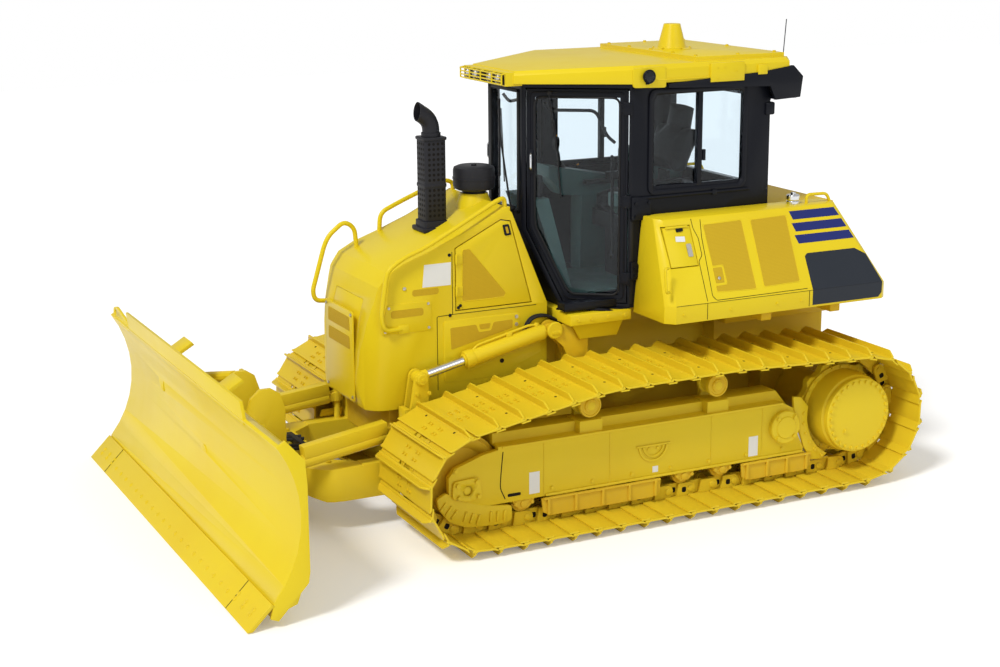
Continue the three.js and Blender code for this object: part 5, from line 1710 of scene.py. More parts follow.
@dataclass
class Cab:
    """The cab: frame, doors, windows, roof, lamps and what is inside."""

    front: float = -0.03
    front_half: float = 0.27
    half: float = 0.72
    pillar: float = 0.61
    door_length: float = 0.7824
    seat_front: float = 0.85
    seat_rear: float = 1.295

    def on_door(self) -> Matrix:
        """The left door's frame: X along the door, -Y outwards, Z up."""
        ux = (self.half - self.front_half) / self.door_length
        uy = (self.pillar - self.front) / self.door_length
        return Matrix(((ux, -uy, 0, self.front_half), (uy, ux, 0, self.front), (0, 0, 1, 0), (0, 0, 0, 1)))

    def door_part(self, piece: Object, stem: str, finish: str) -> None:
        """Moves a piece from the door's frame onto both doors."""
        piece.data.transform(self.on_door())
        both_sides(stem, [piece], finish, "cab_door_")

    def frame_work(self) -> None:
        """Rounds the cab's frame and adds its gaskets, bolts and brackets."""
        dress(refined("cab_frame", "cab_shell", 0.01, 3), "cab_black")
        x = self.half
        loop = rounded_box(0.745, 1.577, 2.198, 2.952, 0.06, 5)
        inner = rounded_box(0.785, 1.54, 2.238, 2.912, 0.05, 5)
        gasket = plate("gasket", loop, X, x - 0.004, x + 0.012, 0.003, 2)
        cut_away(gasket, plate("hole", inner, X, x - 0.05, x + 0.05))
        bars = [
            block("bar", (x - 0.034, 1.155, 2.22), (x + 0.008, 1.195, 2.93), 0.004),
            block("sill", (x - 0.034, 0.77, 2.225), (x + 0.006, 1.55, 2.262), 0.004),
            block("lock", (x - 0.012, 1.2, 2.42), (x + 0.01, 1.225, 2.5), 0.004),
        ]
        both_sides("side_gasket", [gasket, *bars], "cab_black")
        brackets = []
        for low, high, deep in ((2.03, 2.2, 0.15), (1.6, 1.73, 0.06)):
            outline = softened(
                [(0.6, low), (0.61 + deep, low), (0.61 + deep, high - 0.03), (0.65, high), (0.6, high)],
                0.02,
            )
            brackets.append(plate("post", outline, X, x, x + 0.03, 0.006))
            spots = [(x + 0.03, y, z) for y in (0.632, 0.59 + deep) for z in (low + 0.03, high - 0.045)]
            brackets.append(bolt_heads("bolts", spots[: 4 if deep > 0.1 else 2], X, 0.011, 0.01))
        both_sides("hinge_bracket", brackets, "cab_black")
        rail = [bar("rail", (x + 0.012, 0.66, 2.185), (x + 0.012, 1.6, 2.185), 0.012, 14)]
        rail.append(block("clip", (x, 1.28, 2.165), (x + 0.026, 1.32, 2.205), 0.004))
        both_sides("window_rail", rail, "cab_black")
        strip = block("strip", (x - 0.008, 0.605, 1.42), (x + 0.004, 0.632, 2.02), 0.004)
        both_sides("rubber_strip", [strip], "hose_rubber")
        seal = []
        strips = (
            (-0.235, 2.06, -0.205, 2.95), (0.205, 2.06, 0.235, 2.95), (-0.235, 2.06, 0.235, 2.085),
            (-0.235, 2.925, 0.235, 2.95),
        )
        for x0, z0, x1, z1 in strips:
            seal.append(block("seal", (x0, self.front - 0.008, z0), (x1, self.front + 0.004, z1), 0.003))
        gathered("front_seal", seal, "hose_rubber")

    def doors(self) -> None:
        """Adds the doors' inner frames, handles, straps and grab bars."""
        refined_pair("cab_door", "door_leaf", 0.006, "cab_black", "cab_door_")
        glass = [(0.345, 1.486), (0.698, 1.486), (0.698, 2.9), (0.094, 2.9), (0.094, 1.985)]
        outer = softened(glass, 0.06, 6)
        line = tube("line", [(u, -0.004, z) for u, z in outer + outer[:1]], 0.008, 0.004, 2)
        self.door_part(line, "door_gasket", "hose_rubber")
        frame_line = softened(
            [(0.322, 1.452), (0.735, 1.452), (0.735, 2.935), (0.058, 2.935), (0.058, 1.975)], 0.05, 6
        )
        lip = tube("lip", [(u, -0.003, z) for u, z in frame_line + frame_line[:1]], 0.005, 0.004, 2)
        self.door_part(lip, "door_lip", "cab_black")
        base = block("base", (0.052, -0.016, 2.36), (0.088, 0.0, 2.53), 0.006)
        self.door_part(base, "latch_base", "cab_black")
        grip = tube(
            "grip",
            [(0.07, -0.012, 2.385), (0.07, -0.045, 2.395), (0.07, -0.045, 2.495), (0.07, -0.012, 2.505)],
            0.008, 0.02, 3,
        )
        self.door_part(grip, "latch_grip", "chrome")
        inside = tube(
            "inside",
            [
                (0.16, 0.04, 2.86), (0.18, 0.08, 2.8), (0.52, 0.08, 2.8), (0.6, 0.08, 2.62),
                (0.66, 0.04, 2.58),
            ],
            0.012, 0.05, 3,
        )
        upright = tube(
            "upright", [(0.64, 0.05, 1.75), (0.64, 0.09, 1.78), (0.64, 0.09, 2.45), (0.64, 0.05, 2.48)],
            0.012, 0.03, 3,
        )
        self.door_part(joined("grab", [inside, upright]), "door_grab", "seat_shell")
        straps = []
        for z in (1.56, 2.12, 2.78):
            straps.append(block("strap", (0.7, -0.008, z + 0.01), (0.765, 0.002, z + 0.075), 0.003))
            straps.append(bolt_heads(
                "bolts", [(0.715, -0.008, z + 0.025), (0.715, -0.008, z + 0.06)], Y, 0.007, -0.006
            ))
        self.door_part(joined("straps", straps), "hinge_straps", "cab_black")
        for side in Side:
            paint_node(f"door_glass_{side.word}", "cab_glass")
            paint_node(f"side_window_{side.word}", "cab_glass")
        for pane in ("windshield", "rear_window"):
            paint_node(pane, "cab_glass")

    def wipers(self) -> None:
        """Mounts a wiper on the windscreen and on each door."""
        y = self.front
        arm = tube(
            "arm", [(0.15, y - 0.012, 2.09), (0.14, y - 0.03, 2.12), (-0.02, y - 0.03, 2.62)], 0.007,
            0.02, 2,
        )
        blade = block("blade", (-0.045, y - 0.03, 2.3), (-0.03, y - 0.016, 2.86), 0.003)
        pivot = bar("pivot", (0.15, y - 0.035, 2.09), (0.15, y, 2.09), 0.018, 16, 0.003)
        gathered("front_wiper", [arm, blade, pivot], "hose_rubber")
        arm = tube("arm", [(0.2, -0.012, 2.93), (0.2, -0.028, 2.9), (0.27, -0.028, 2.42)], 0.006, 0.02, 2)
        blade = tube("blade", [(0.235, -0.02, 2.74), (0.285, -0.02, 2.18)], 0.006, 0.01, 2)
        pivot = bar("pivot", (0.2, -0.03, 2.93), (0.2, 0, 2.93), 0.016, 16, 0.003)
        self.door_part(joined("door_wiper", [arm, blade, pivot]), "door_wiper", "hose_rubber")

    def roof(self) -> None:
        """Rounds the roof and adds its lamps, plate bolts, dome ring, bracket and aerial."""
        dress(refined("cab_roof", "roof_shell", 0.01, 3), "body_yellow")
        dress(refined("rear_roof_box", "roof_rear_box", 0.014, 3), "cab_black")
        outline = [
            (0.87, 2.962), (0.87, 2.99), (1.133, 3.008), (1.642, 3.036), (1.935, 3.072),
            (2.02, 2.99), (2.0, 2.838), (1.782, 2.828), (1.733, 2.93),
        ]
        fascia = plate("fascia", outline, X, 0.75, 0.784, 0.004)
        both_sides("roof_fascia", [fascia], "cab_black")
        back = [
            block("back", (-0.755, 1.975, 2.84), (0.755, 2.012, 3.01), 0.006),
            block("floor", (-0.755, 1.785, 2.83), (0.755, 1.99, 2.85), 0.006),
        ]
        for x in (-0.7, 0.7):
            back.append(block("lamp_box", (x - 0.035, 1.735, 2.715), (x + 0.035, 1.815, 2.808), 0.012))
            back.append(bar("lamp_arm", (x, 1.775, 2.8), (x, 1.795, 2.85), 0.01, 12))
        gathered("roof_back", back, "cab_black")
        clamps = [block("clamp", (0.77, 1.215, 2.985), (0.792, 1.5, 3.12), 0.004)]
        clamps += [
            bar("stud", (0.79, y, z), (0.795, y, z), 0.008, 10)
            for y, z in ((1.27, 3.09), (1.33, 3.09), (1.27, 3.01), (1.43, 3.06))
        ]
        both_sides("roof_clamp", clamps, "body_yellow")
        y = -0.19
        # painted shade inside the lamp recess behind the mirrors
        pocket = plate(
            "pocket", softened([(-0.325, 2.995), (0.325, 2.995), (0.315, 3.072), (-0.315, 3.072)], 0.012),
            Y, y - 0.002, y + 0.01,
        )
        dress(pocket, "dark_hole")
        rims = []
        mirrors = []
        for x in (-0.245, -0.115, 0.115, 0.245):
            mirrors.append(turned(
                "mirror",
                [
                    (0, -0.004), (0.031, -0.004), (0.033, -0.016), (0.026, -0.01), (0.01, -0.006),
                    (0, -0.006),
                ],
                (x, y, 3.034), Y, 28,
            ))
            rims.append(turned(
                "rim", [(0.031, -0.002), (0.038, -0.002), (0.038, -0.022), (0.031, -0.018)],
                (x, y, 3.034), Y, 28,
            ))
        gathered("roof_mirrors", mirrors, "lamp_mirror")
        gathered("roof_rims", rims, "zinc")
        grid = [
            bar("grid", (-0.335, y - 0.03, z), (0.335, y - 0.03, z), 0.005, 12)
            for z in (3.0, 3.022, 3.046, 3.07)
        ]
        for x in (-0.335, -0.18, 0.0, 0.18, 0.335):
            grid.append(bar("grid", (x, y - 0.03, 2.998), (x, y - 0.03, 3.072), 0.006, 12))
            grid.append(bar("stay", (x, y - 0.03, 3.07), (x, y + 0.01, 3.076), 0.005, 12))
        gathered("lamp_grid", grid, "body_yellow")
        bolts = [(x, 1.19, 3.16) for x in (-0.62, -0.31, 0.0, 0.31, 0.62)]
        bolts += [(x, 1.87, 3.16) for x in (-0.62, 0.0, 0.62)] + [(x, 1.53, 3.16) for x in (-0.65, 0.65)]
        dress(bolt_heads("plate_bolts", bolts, Z, 0.013, 0.011), "body_yellow")
        foot = turned(
            "foot", [(0, 0), (0.15, 0), (0.15, 0.006), (0.128, 0.012), (0, 0.012)], (0, 1.375, 3.158), Z, 40
        )
        ring = bolt_heads("ring", bolt_ring((0, 1.375, 3.169), Z, 0.137, 6), Z, 0.008, 0.007)
        gathered("dome_foot", [foot, ring], "body_yellow")
        drop = plate(
            "drop", softened([(0.575, 3.11), (0.85, 3.118), (0.852, 2.965), (0.585, 2.975)], 0.02), X,
            0.762, 0.78, 0.005,
        )
        both_sides("lamp_panel", [drop], "body_yellow")
        lamp = turned(
            "lamp",
            [(0, 0), (0.03, 0), (0.046, 0.016), (0.05, 0.034), (0.046, 0.04), (0.04, 0.034), (0, 0.034)],
            (0.78, 0.693, 3.052), X, 28,
        )
        stay = block("stay", (0.78, 0.68, 2.995), (0.795, 0.706, 3.03), 0.004)
        both_sides("side_lamp", [lamp, stay], "cab_black")
        lens = turned(
            "lens", [(0, 0.03), (0.04, 0.03), (0.036, 0.036), (0, 0.04)], (0.78, 0.693, 3.052), X, 28
        )
        both_sides("side_lens", [lens], "lamp_glass")
        edge = [
            block("edge", (0.745, 0.62, 3.018), (0.782, 1.9, 3.026), 0.002),
            block("clip", (0.76, 1.62, 3.02), (0.79, 1.7, 3.09), 0.004),
        ]
        both_sides("roof_edge", edge, "body_yellow")
        aerial = tube(
            "aerial", [(0.64, 1.93, 3.0), (0.64, 1.93, 3.06), (0.655, 1.945, 3.395)], 0.0035, 0.02, 2
        )
        socket = bar("socket", (0.64, 1.93, 2.99), (0.64, 1.93, 3.05), 0.014, 16, 0.003)
        gathered("aerial", [aerial, socket], "cab_black")
        bowl = [(0, 0), (0.045, 0), (0.05, 0.03), (0.044, 0.036), (0, 0.03)]
        rear_lamps = [turned("lamp", bowl, (x, 1.995, 2.945), Y, 28) for x in (-0.52, 0.52)]
        gathered("rear_lamps", rear_lamps, "lamp_mirror")

    def inside(self) -> None:
        """Dresses the console and adds levers, screen, headlining and belt."""
        console = refined("cab_console", "console", 0.016, 3)
        deselect()
        choose(console)
        bpy.ops.mesh.separate(type="LOOSE")
        pods = sorted(
            bpy.context.selected_objects, key=lambda piece: piece.bound_box[0][0] + piece.bound_box[6][0]
        )
        for i, pod in enumerate(pods):
            pod.name = f"console_{i}"
            dress(pod, "console_teal" if i == 0 else "seat_shell")
        dress(refined("seat_base", "seat_frame", 0.014, 3), "seat_shell")
        levers = []
        for x, y, z in ((0.445, 0.76, 2.17), (-0.445, 0.66, 2.255)):
            boot = turned(
                "boot",
                [
                    (0, 0), (0.048, 0), (0.044, 0.012), (0.034, 0.022), (0.026, 0.036), (0.016, 0.05),
                    (0, 0.05),
                ],
                (x, y, z), Z, 24,
            )
            stick = tube(
                "stick", [(x, y, z + 0.04), (x, y - 0.005, z + 0.1), (x, y - 0.025, z + 0.16)], 0.01,
                0.03, 3,
            )
            knob = turned(
                "knob",
                [(0, 0), (0.02, 0), (0.026, 0.03), (0.027, 0.07), (0.022, 0.092), (0.01, 0.1), (0, 0.1)],
                (x, y - 0.028, z + 0.14), Z, 24,
            )
            levers += [boot, stick, knob]
        gathered("levers", levers, "seat_shell")
        buttons = [
            bar("button", (x, y, z), (x, y - 0.004, z + 0.007), 0.009, 14, 0.002)
            for x, y, z in ((0.445, 0.735, 2.412), (-0.445, 0.635, 2.497), (-0.4, 0.8, 2.27))
        ]
        gathered("lever_buttons", buttons, "lamp_amber")
        screen = block("screen", (-0.17, 0.095, 2.152), (0.17, 0.135, 2.33), 0.01)
        screen.data.transform(Matrix.Translation((0, 0.06, -0.02)))
        dress(screen, "seat_shell")
        glow = block("glow", (-0.15, 0.196, 2.15), (0.15, 0.199, 2.295), 0.002)
        dress(glow, "panel_slate")
        cases = [
            block("case", (-0.64, 1.28, 2.07), (-0.34, 1.72, 2.36), 0.03, 3),
            block("tray", (0.34, 0.92, 2.06), (0.52, 1.3, 2.17), 0.02, 3),
        ]
        gathered("side_cases", cases, "console_teal")
        pads = [block("pad", (x - 0.035, 0.8, 2.13), (x + 0.035, 1.05, 2.165), 0.012, 3) for x in (-0.3, 0.3)]
        gathered("arm_pads", pads, "seat_vinyl")
        pedals = [
            block("pedal", (x - 0.045, 0.3, 1.62), (x + 0.045, 0.325, 1.72), 0.006)
            for x in (-0.16, 0.0, 0.16)
        ]
        arms = [
            tube("arm", [(x, 0.33, 1.64), (x, 0.38, 1.56), (x, 0.42, 1.49)], 0.01, 0.03, 2)
            for x in (-0.16, 0.0, 0.16)
        ]
        gathered("pedals", pedals + arms, "seat_shell")
        lining = block("lining", (-0.6, 0.62, 2.955), (0.6, 1.7, 2.975), 0.004)
        dress(lining, "seat_shell")
        belt = tube("belt", [(0.262, 1.22, 1.96), (0.262, 1.2, 2.06), (0.235, 1.24, 2.12)], 0.012, 0.03, 2)
        dress(belt, "hose_rubber")

    def cushion(self, node: str, stem: str) -> None:
        """Puffs a seat part up with a short cloth run from its plain solid.

        Args:
            node: The seat part's node.
            stem: The new piece's name.
        """
        piece = refined(node, stem, 0.0)
        bevel_edges(piece, 0.022, 3, 25)
        remesh = piece.modifiers.new("fine", "REMESH")
        remesh.mode = "VOXEL"
        remesh.voxel_size = 0.006
        choose(piece)
        bpy.ops.object.modifier_apply(modifier=remesh.name)
        cloth = piece.modifiers.new("puff", "CLOTH")
        cloth.settings.use_pressure = True
        cloth.settings.uniform_pressure_force = 4.0
        cloth.settings.effector_weights.gravity = 0.0
        cloth.settings.quality = 4
        scene = bpy.context.scene
        for step in range(1, 21):
            scene.frame_set(step)
        bpy.ops.object.modifier_apply(modifier=cloth.name)
        scene.frame_set(1)
        edit_all(piece)
        bpy.ops.mesh.vertices_smooth(factor=0.5, repeat=6)
        deselect()
        smooth(piece, 60)
        dress(piece, "seat_vinyl")

    def seat_trim(self) -> None:
        """Sews the piping of the seat."""
        y0, y1, x = self.seat_front + 0.015, self.seat_rear - 0.035, 0.221
        loop = [(-x, y0), (x, y0), (x, y1), (-x, y1)]
        points = [(px, py, 2.072) for px, py in softened(loop, 0.03, 4)]
        dress(tube("seat_piping", points + points[:1], 0.005, 0.004, 2), "seat_shell")

    def deck(self) -> None:
        """Adds the deck below the doors with bolts and the step bar."""
        dress(refined("cab_deck", "deck_block", 0.008), "body_yellow")
        treads = block("treads", (0.56, 0.102, 1.405), (0.672, 0.53, 1.462), 0.008)
        both_sides("step_block", [treads], "cab_black")
        step = tube(
            "step", [(0.46, 0.17, 1.36), (0.5, 0.13, 1.395), (0.7, 0.42, 1.395), (0.7, 0.5, 1.37)], 0.012,
            0.04, 3,
        )
        plate_step = plate(
            "tread", softened([(0.44, 0.17), (0.7, 0.54), (0.716, 0.62), (0.6, 0.6), (0.42, 0.22)], 0.02),
            Z, 1.386, 1.396, 0.003,
        )
        both_sides("door_step", [step, plate_step], "cab_black")
        bolts = bolt_heads("bolts", [(0.715, y, 1.345) for y in (0.19, 0.3, 0.44, 0.57)], X, 0.012, 0.01)
        both_sides("deck_bolts", [bolts], "body_yellow")

    def build(self) -> None:
        """Builds the cab from the frame inwards."""
        self.frame_work()
        self.doors()
        self.wipers()
        self.roof()
        self.inside()
        self.cushion("seat_cushion", "seat_pad")
        self.cushion("seat_backrest", "seat_back")
        self.seat_trim()
        self.deck()


# ---- side boxes and rear


@dataclass
class SideBoxes:
    """The boxes beside and behind the cab, with vents, stripes, hatch and caps."""

    outer: float = 1.21
    top_x: float = 0.93
    band: float = 1.49
    top: float = 2.054

    def on_face(self) -> Matrix:
        """The leaning face's frame: X outwards, Y along the machine, Z up the slope."""
        slope = Vector((self.top_x - self.outer, 0, self.top - self.band)).normalized()
        return Matrix(
            (
                (slope.z, 0, slope.x, self.outer),
                (0, 1, 0, 0),
                (-slope.x, 0, slope.z, self.band),
                (0, 0, 0, 1),
            )
        )

    def up(self, z: float) -> float:
        """The place up the slope of a height."""
        reach = math.hypot(self.top_x - self.outer, self.top - self.band)
        return (z - self.band) * reach / (self.top - self.band)

    def face_plate(
        self, name: str, points: Outline, low: float, high: float, round_by: float = 0.0
    ) -> Object:
        """Makes a plate on the leaning face.

        Args:
            name: The plate's name.
            points: Its outline as (y, height).
            low: Where it starts, outwards from the face.
            high: Where it ends.
            round_by: The rounding of its corners.

        Returns:
            The plate.
        """
        outline = [(y, self.up(z)) for y, z in points]
        if round_by:
            outline = softened(outline, round_by)
        piece = plate(name, outline, X, low, high)
        piece.data.transform(self.on_face())
        return piece

    def face_line(self, name: str, points: Outline, radius: float = 0.0022) -> Object:
        """Draws a thin line on the leaning face."""
        piece = tube(name, [(0.0004, y, self.up(z)) for y, z in points], radius, 0.012, 1)
        piece.data.transform(self.on_face())
        return piece

    def boxes(self) -> None:
        """Rounds the boxes, the hatch and the housing."""
        refined_pair("side_box", "box", 0.014, "body_yellow", segments=3)
        dress(refined("side_hatch_left", "hatch", 0.004), "body_yellow", "side_hatch")
        dress(refined("radiator_housing", "housing", 0.008), "under_yellow")
        latch = self.face_plate(
            "latch", [(0.888, 1.8), (0.926, 1.8), (0.926, 1.885), (0.888, 1.885)], -0.003, 0.004, 0.008
        )
        dress(latch, "zinc", "side_hatch")

    def vents(self) -> None:
        """Adds the two punched vents with their rims."""
        shapes = (
            [
                (1.062, 1.998), (1.391, 2.006), (1.385, 1.543), (1.052, 1.553),
                (1.052, 1.593), (1.15, 1.597), (1.15, 1.725), (1.062, 1.722),
            ],
            [(1.466, 1.999), (1.78, 2.008), (1.766, 1.558), (1.452, 1.55)],
        )
        grids = [self.face_plate("vent", shape, -0.002, 0.0012, 0.03) for shape in shapes]
        both_sides("box_vents", grids, "vent_mustard")
        keeper = self.face_plate(
            "keeper", [(1.062, 1.61), (1.132, 1.612), (1.136, 1.712), (1.062, 1.71)], -0.001, 0.003, 0.008
        )
        both_sides("vent_latch", [keeper], "vent_mustard")
        stud = bar("stud", (0.003, 1.092, self.up(1.64)), (0.01, 1.092, self.up(1.64)), 0.012, 16, 0.002)
        stud.data.transform(self.on_face())
        both_sides("vent_stud", [stud], "zinc")
        rims = [self.face_line("rim", shape + shape[:1], 0.003) for shape in shapes]
        both_sides("box_vent_rims", rims, "body_yellow")

    def stripes(self) -> None:
        """Lays the three stripes and the dark rear panel, without any writing."""
        bands = []
        for top in (2.03, 1.948, 1.866):
            low = top - 0.058
            rear_top = 2.235 + (2.054 - top) * 0.51 - 0.03
            rear_low = 2.235 + (2.054 - low) * 0.51 - 0.03
            bands.append(self.face_plate(
                "stripe", [(1.835, low), (rear_low, low), (rear_top, top), (1.815, top)], 0.0, 0.0014
            ))
        both_sides("stripes", bands, "stripe_blue")
        rear = 2.528
        panel = [
            self.face_plate(
                "panel",
                [
                    (1.86, 1.49), (rear - 0.042, 1.49), (2.4, 1.69), (2.31, 1.738), (1.885, 1.738),
                    (1.86, 1.72),
                ],
                0.0, 0.0016,
            ),
            plate(
                "panel_low",
                [
                    (1.86, 1.378), (rear - 0.075, 1.378), (rear - 0.045, 1.41), (rear - 0.042, 1.492),
                    (1.86, 1.492),
                ],
                X, self.outer, self.outer + 0.0016,
            ),
        ]
        both_sides("slate_panel", panel, "panel_slate")

    def lines(self) -> None:
        """Draws the shut lines as painted shade in the gaps, and the box's handle, blank plate and bolts."""
        lines = [
            self.face_line(
                "line",
                [(0.975, 2.045), (0.975, 1.985), (1.0, 1.915), (0.998, 1.8), (0.962, 1.765), (0.958, 1.5)],
            ),
            self.face_line(
                "line", [(1.05, 2.035), (1.03, 1.92), (1.008, 1.53), (1.035, 1.5), (1.815, 1.505)]
            ),
            tube(
                "line", [(self.outer + 0.0004, 0.955, 1.372), (self.outer + 0.0004, 0.955, 1.49)], 0.0022,
                0.01, 1,
            ),
            tube(
                "line", [(self.outer + 0.0004, 1.83, 1.372), (self.outer + 0.0004, 1.83, 1.49)], 0.0022,
                0.01, 1,
            ),
            tube(
                "line", [(self.outer + 0.0004, 0.7, 1.489), (self.outer + 0.0004, 2.46, 1.489)], 0.0016,
                0.01, 1,
            ),
        ]
        both_sides("box_lines", lines, "dark_hole")
        tag = self.face_plate(
            "tag", [(0.812, 1.905), (0.888, 1.9), (0.892, 1.935), (0.816, 1.94)], 0.0, 0.0014, 0.004
        )
        dress(tag, "label_white", "side_hatch")
        knob = self.face_plate(
            "knob", [(0.832, 1.965), (0.888, 1.97), (0.888, 2.002), (0.834, 1.996)], -0.002, 0.006, 0.015
        )
        dress(knob, "cab_black", "side_hatch")
        handle = tube(
            "handle",
            [(1.165, 0.655, 1.76), (1.185, 0.615, 1.765), (1.215, 0.61, 1.6), (1.185, 0.655, 1.59)], 0.01,
            0.03, 3,
        )
        both_sides("box_handle", [handle], "body_yellow")
        bolts = [(self.outer, y, 1.425) for y in (0.76, 1.15, 1.55, 1.76)]
        both_sides("box_bolts", [bolt_heads("bolts", bolts, X, 0.009, 0.007)], "body_yellow")

    def caps(self) -> None:
        """Stands the filler caps and tube handles on the boxes."""
        z = 2.06
        neck = turned(
            "neck", [(0, 0), (0.05, 0), (0.05, 0.02), (0.042, 0.03), (0, 0.03)], (0.83, 1.93, z), Z, 32
        )
        lid = turned(
            "lid", [(0, 0.03), (0.046, 0.03), (0.05, 0.036), (0.05, 0.062), (0.044, 0.07), (0, 0.072)],
            (0.83, 1.93, z), Z, 32,
        )
        tab = block("tab", (0.815, 1.915, z + 0.068), (0.845, 1.945, z + 0.088), 0.005)
        both_sides("filler", [neck, lid, tab], "chrome")
        grip = tube(
            "grip",
            [
                (0.86, 2.03, z - 0.005), (0.86, 2.03, z + 0.065), (0.86, 2.21, z + 0.062),
                (0.86, 2.25, z - 0.02),
            ],
            0.012, 0.035, 3,
        )
        both_sides("box_grip", [grip], "body_yellow")

    def build(self) -> None:
        """Builds both boxes."""
        self.boxes()
        self.vents()
        self.stripes()
        self.lines()
        self.caps()


@dataclass
class Rear:
    """The rear grille, the fan, the drawbar and the middle of the machine."""

    def build(self) -> None:
        """Dresses the rear and the hull."""
        dress(refined("rear_grille", "grille", 0.005), "body_yellow", "grille_door")
        dress(refined("cooling_fan", "fan_wheel", 0.004), "cab_black", "fan")
        hull = (
            ("drawbar", "towing_lug", 0.006), ("main_frame", "hull", 0.01),
            ("equalizer_bar", "equalizer", 0.008),
        )
        # the hull parts take the darker yellow, painted shade for the parts under the machine
        for node, name, width in (*hull, ("pivot_shaft", "pivot_bar", 0.004)):
            dress(refined(node, name, width), "under_yellow")
        pin = bar("pin", (0, 2.63, 0.42), (0, 2.63, 0.66), 0.024, 24, 0.004)
        head = bar("head", (0, 2.63, 0.612), (0, 2.63, 0.64), 0.04, 24, 0.005)
        gathered("towing_pin", [pin, head], "zinc")
        bolts = [(x, 2.5403, z) for x in (-0.12, 0.12) for z in (0.46, 0.535, 0.61)]
        dress(bolt_heads("towing_bolts", bolts, Y, 0.016, 0.014), "under_yellow")
        cover = [(x, 2.5, z) for x in (-0.48, -0.3, 0.3, 0.48) for z in (0.5, 0.68, 0.86)]
        dress(bolt_heads("case_bolts", cover, Y, 0.014, 0.012), "under_yellow")
        frame_bolts = [(x, 2.45, z) for x in (-0.615, 0.615) for z in (1.24, 1.4, 1.58, 1.76, 1.93)]
        dress(bolt_heads("grille_bolts", frame_bolts, Y, 0.011, 0.009), "body_yellow", "grille_door")
        across = [-0.552 + k * 0.048 for k in range(24)]
        upwards = [1.28 + k * 0.047 for k in range(14)]
        mesh = [block("wire", (x - 0.0025, 2.44, 1.255), (x + 0.0025, 2.445, 1.912)) for x in across]
        mesh += [block("wire", (-0.582, 2.445, z), (0.582, 2.449, z + 0.005)) for z in upwards]
        gathered("grille_mesh", mesh, "stack_black", "grille_door")
        bowl = [(0, 0), (0.042, 0), (0.042, 0.014), (0.034, 0.02), (0, 0.022)]
        lamps = [turned("lamp", bowl, (x, 2.528, 1.425), Y, 28) for x in (-0.96, 0.96)]
        gathered("tail_lamps", lamps, "lamp_amber")


# ---- blade and its cylinders


@dataclass
class Cylinder:
    """A barrel with its rod, between two pins, built in the machine's frame."""

    start: Triple
    end: Triple
    gland: float
    radius: float
    rod_radius: float

    def at(self, reach: float, lift: float = 0.0) -> Vector:
        """A place along the cylinder, raised by a height."""
        run = (Vector(self.end) - Vector(self.start)).normalized()
        return Vector(self.start) + run * reach + Vector((0, 0, lift))

    def shell(self) -> list[Object]:
        """The barrel's tube and its rings."""
        gland = self.gland
        radius = self.radius
        weld = bar("weld", self.at(0.055), self.at(0.085), radius * 0.86, 36, 0.004)
        body = bar("body", self.at(0.075), self.at(gland - 0.03), radius, 40, 0.004)
        head = bar("head", self.at(gland - 0.055), self.at(gland + 0.012), radius + 0.006, 40, 0.004)
        nose = bar("nose", self.at(gland + 0.008), self.at(gland + 0.026), radius * 0.78, 36, 0.004)
        cut_away(nose, bar("room", self.at(gland), self.at(gland + 0.05), self.rod_radius + 0.001, 36))
        return [weld, body, head, nose]


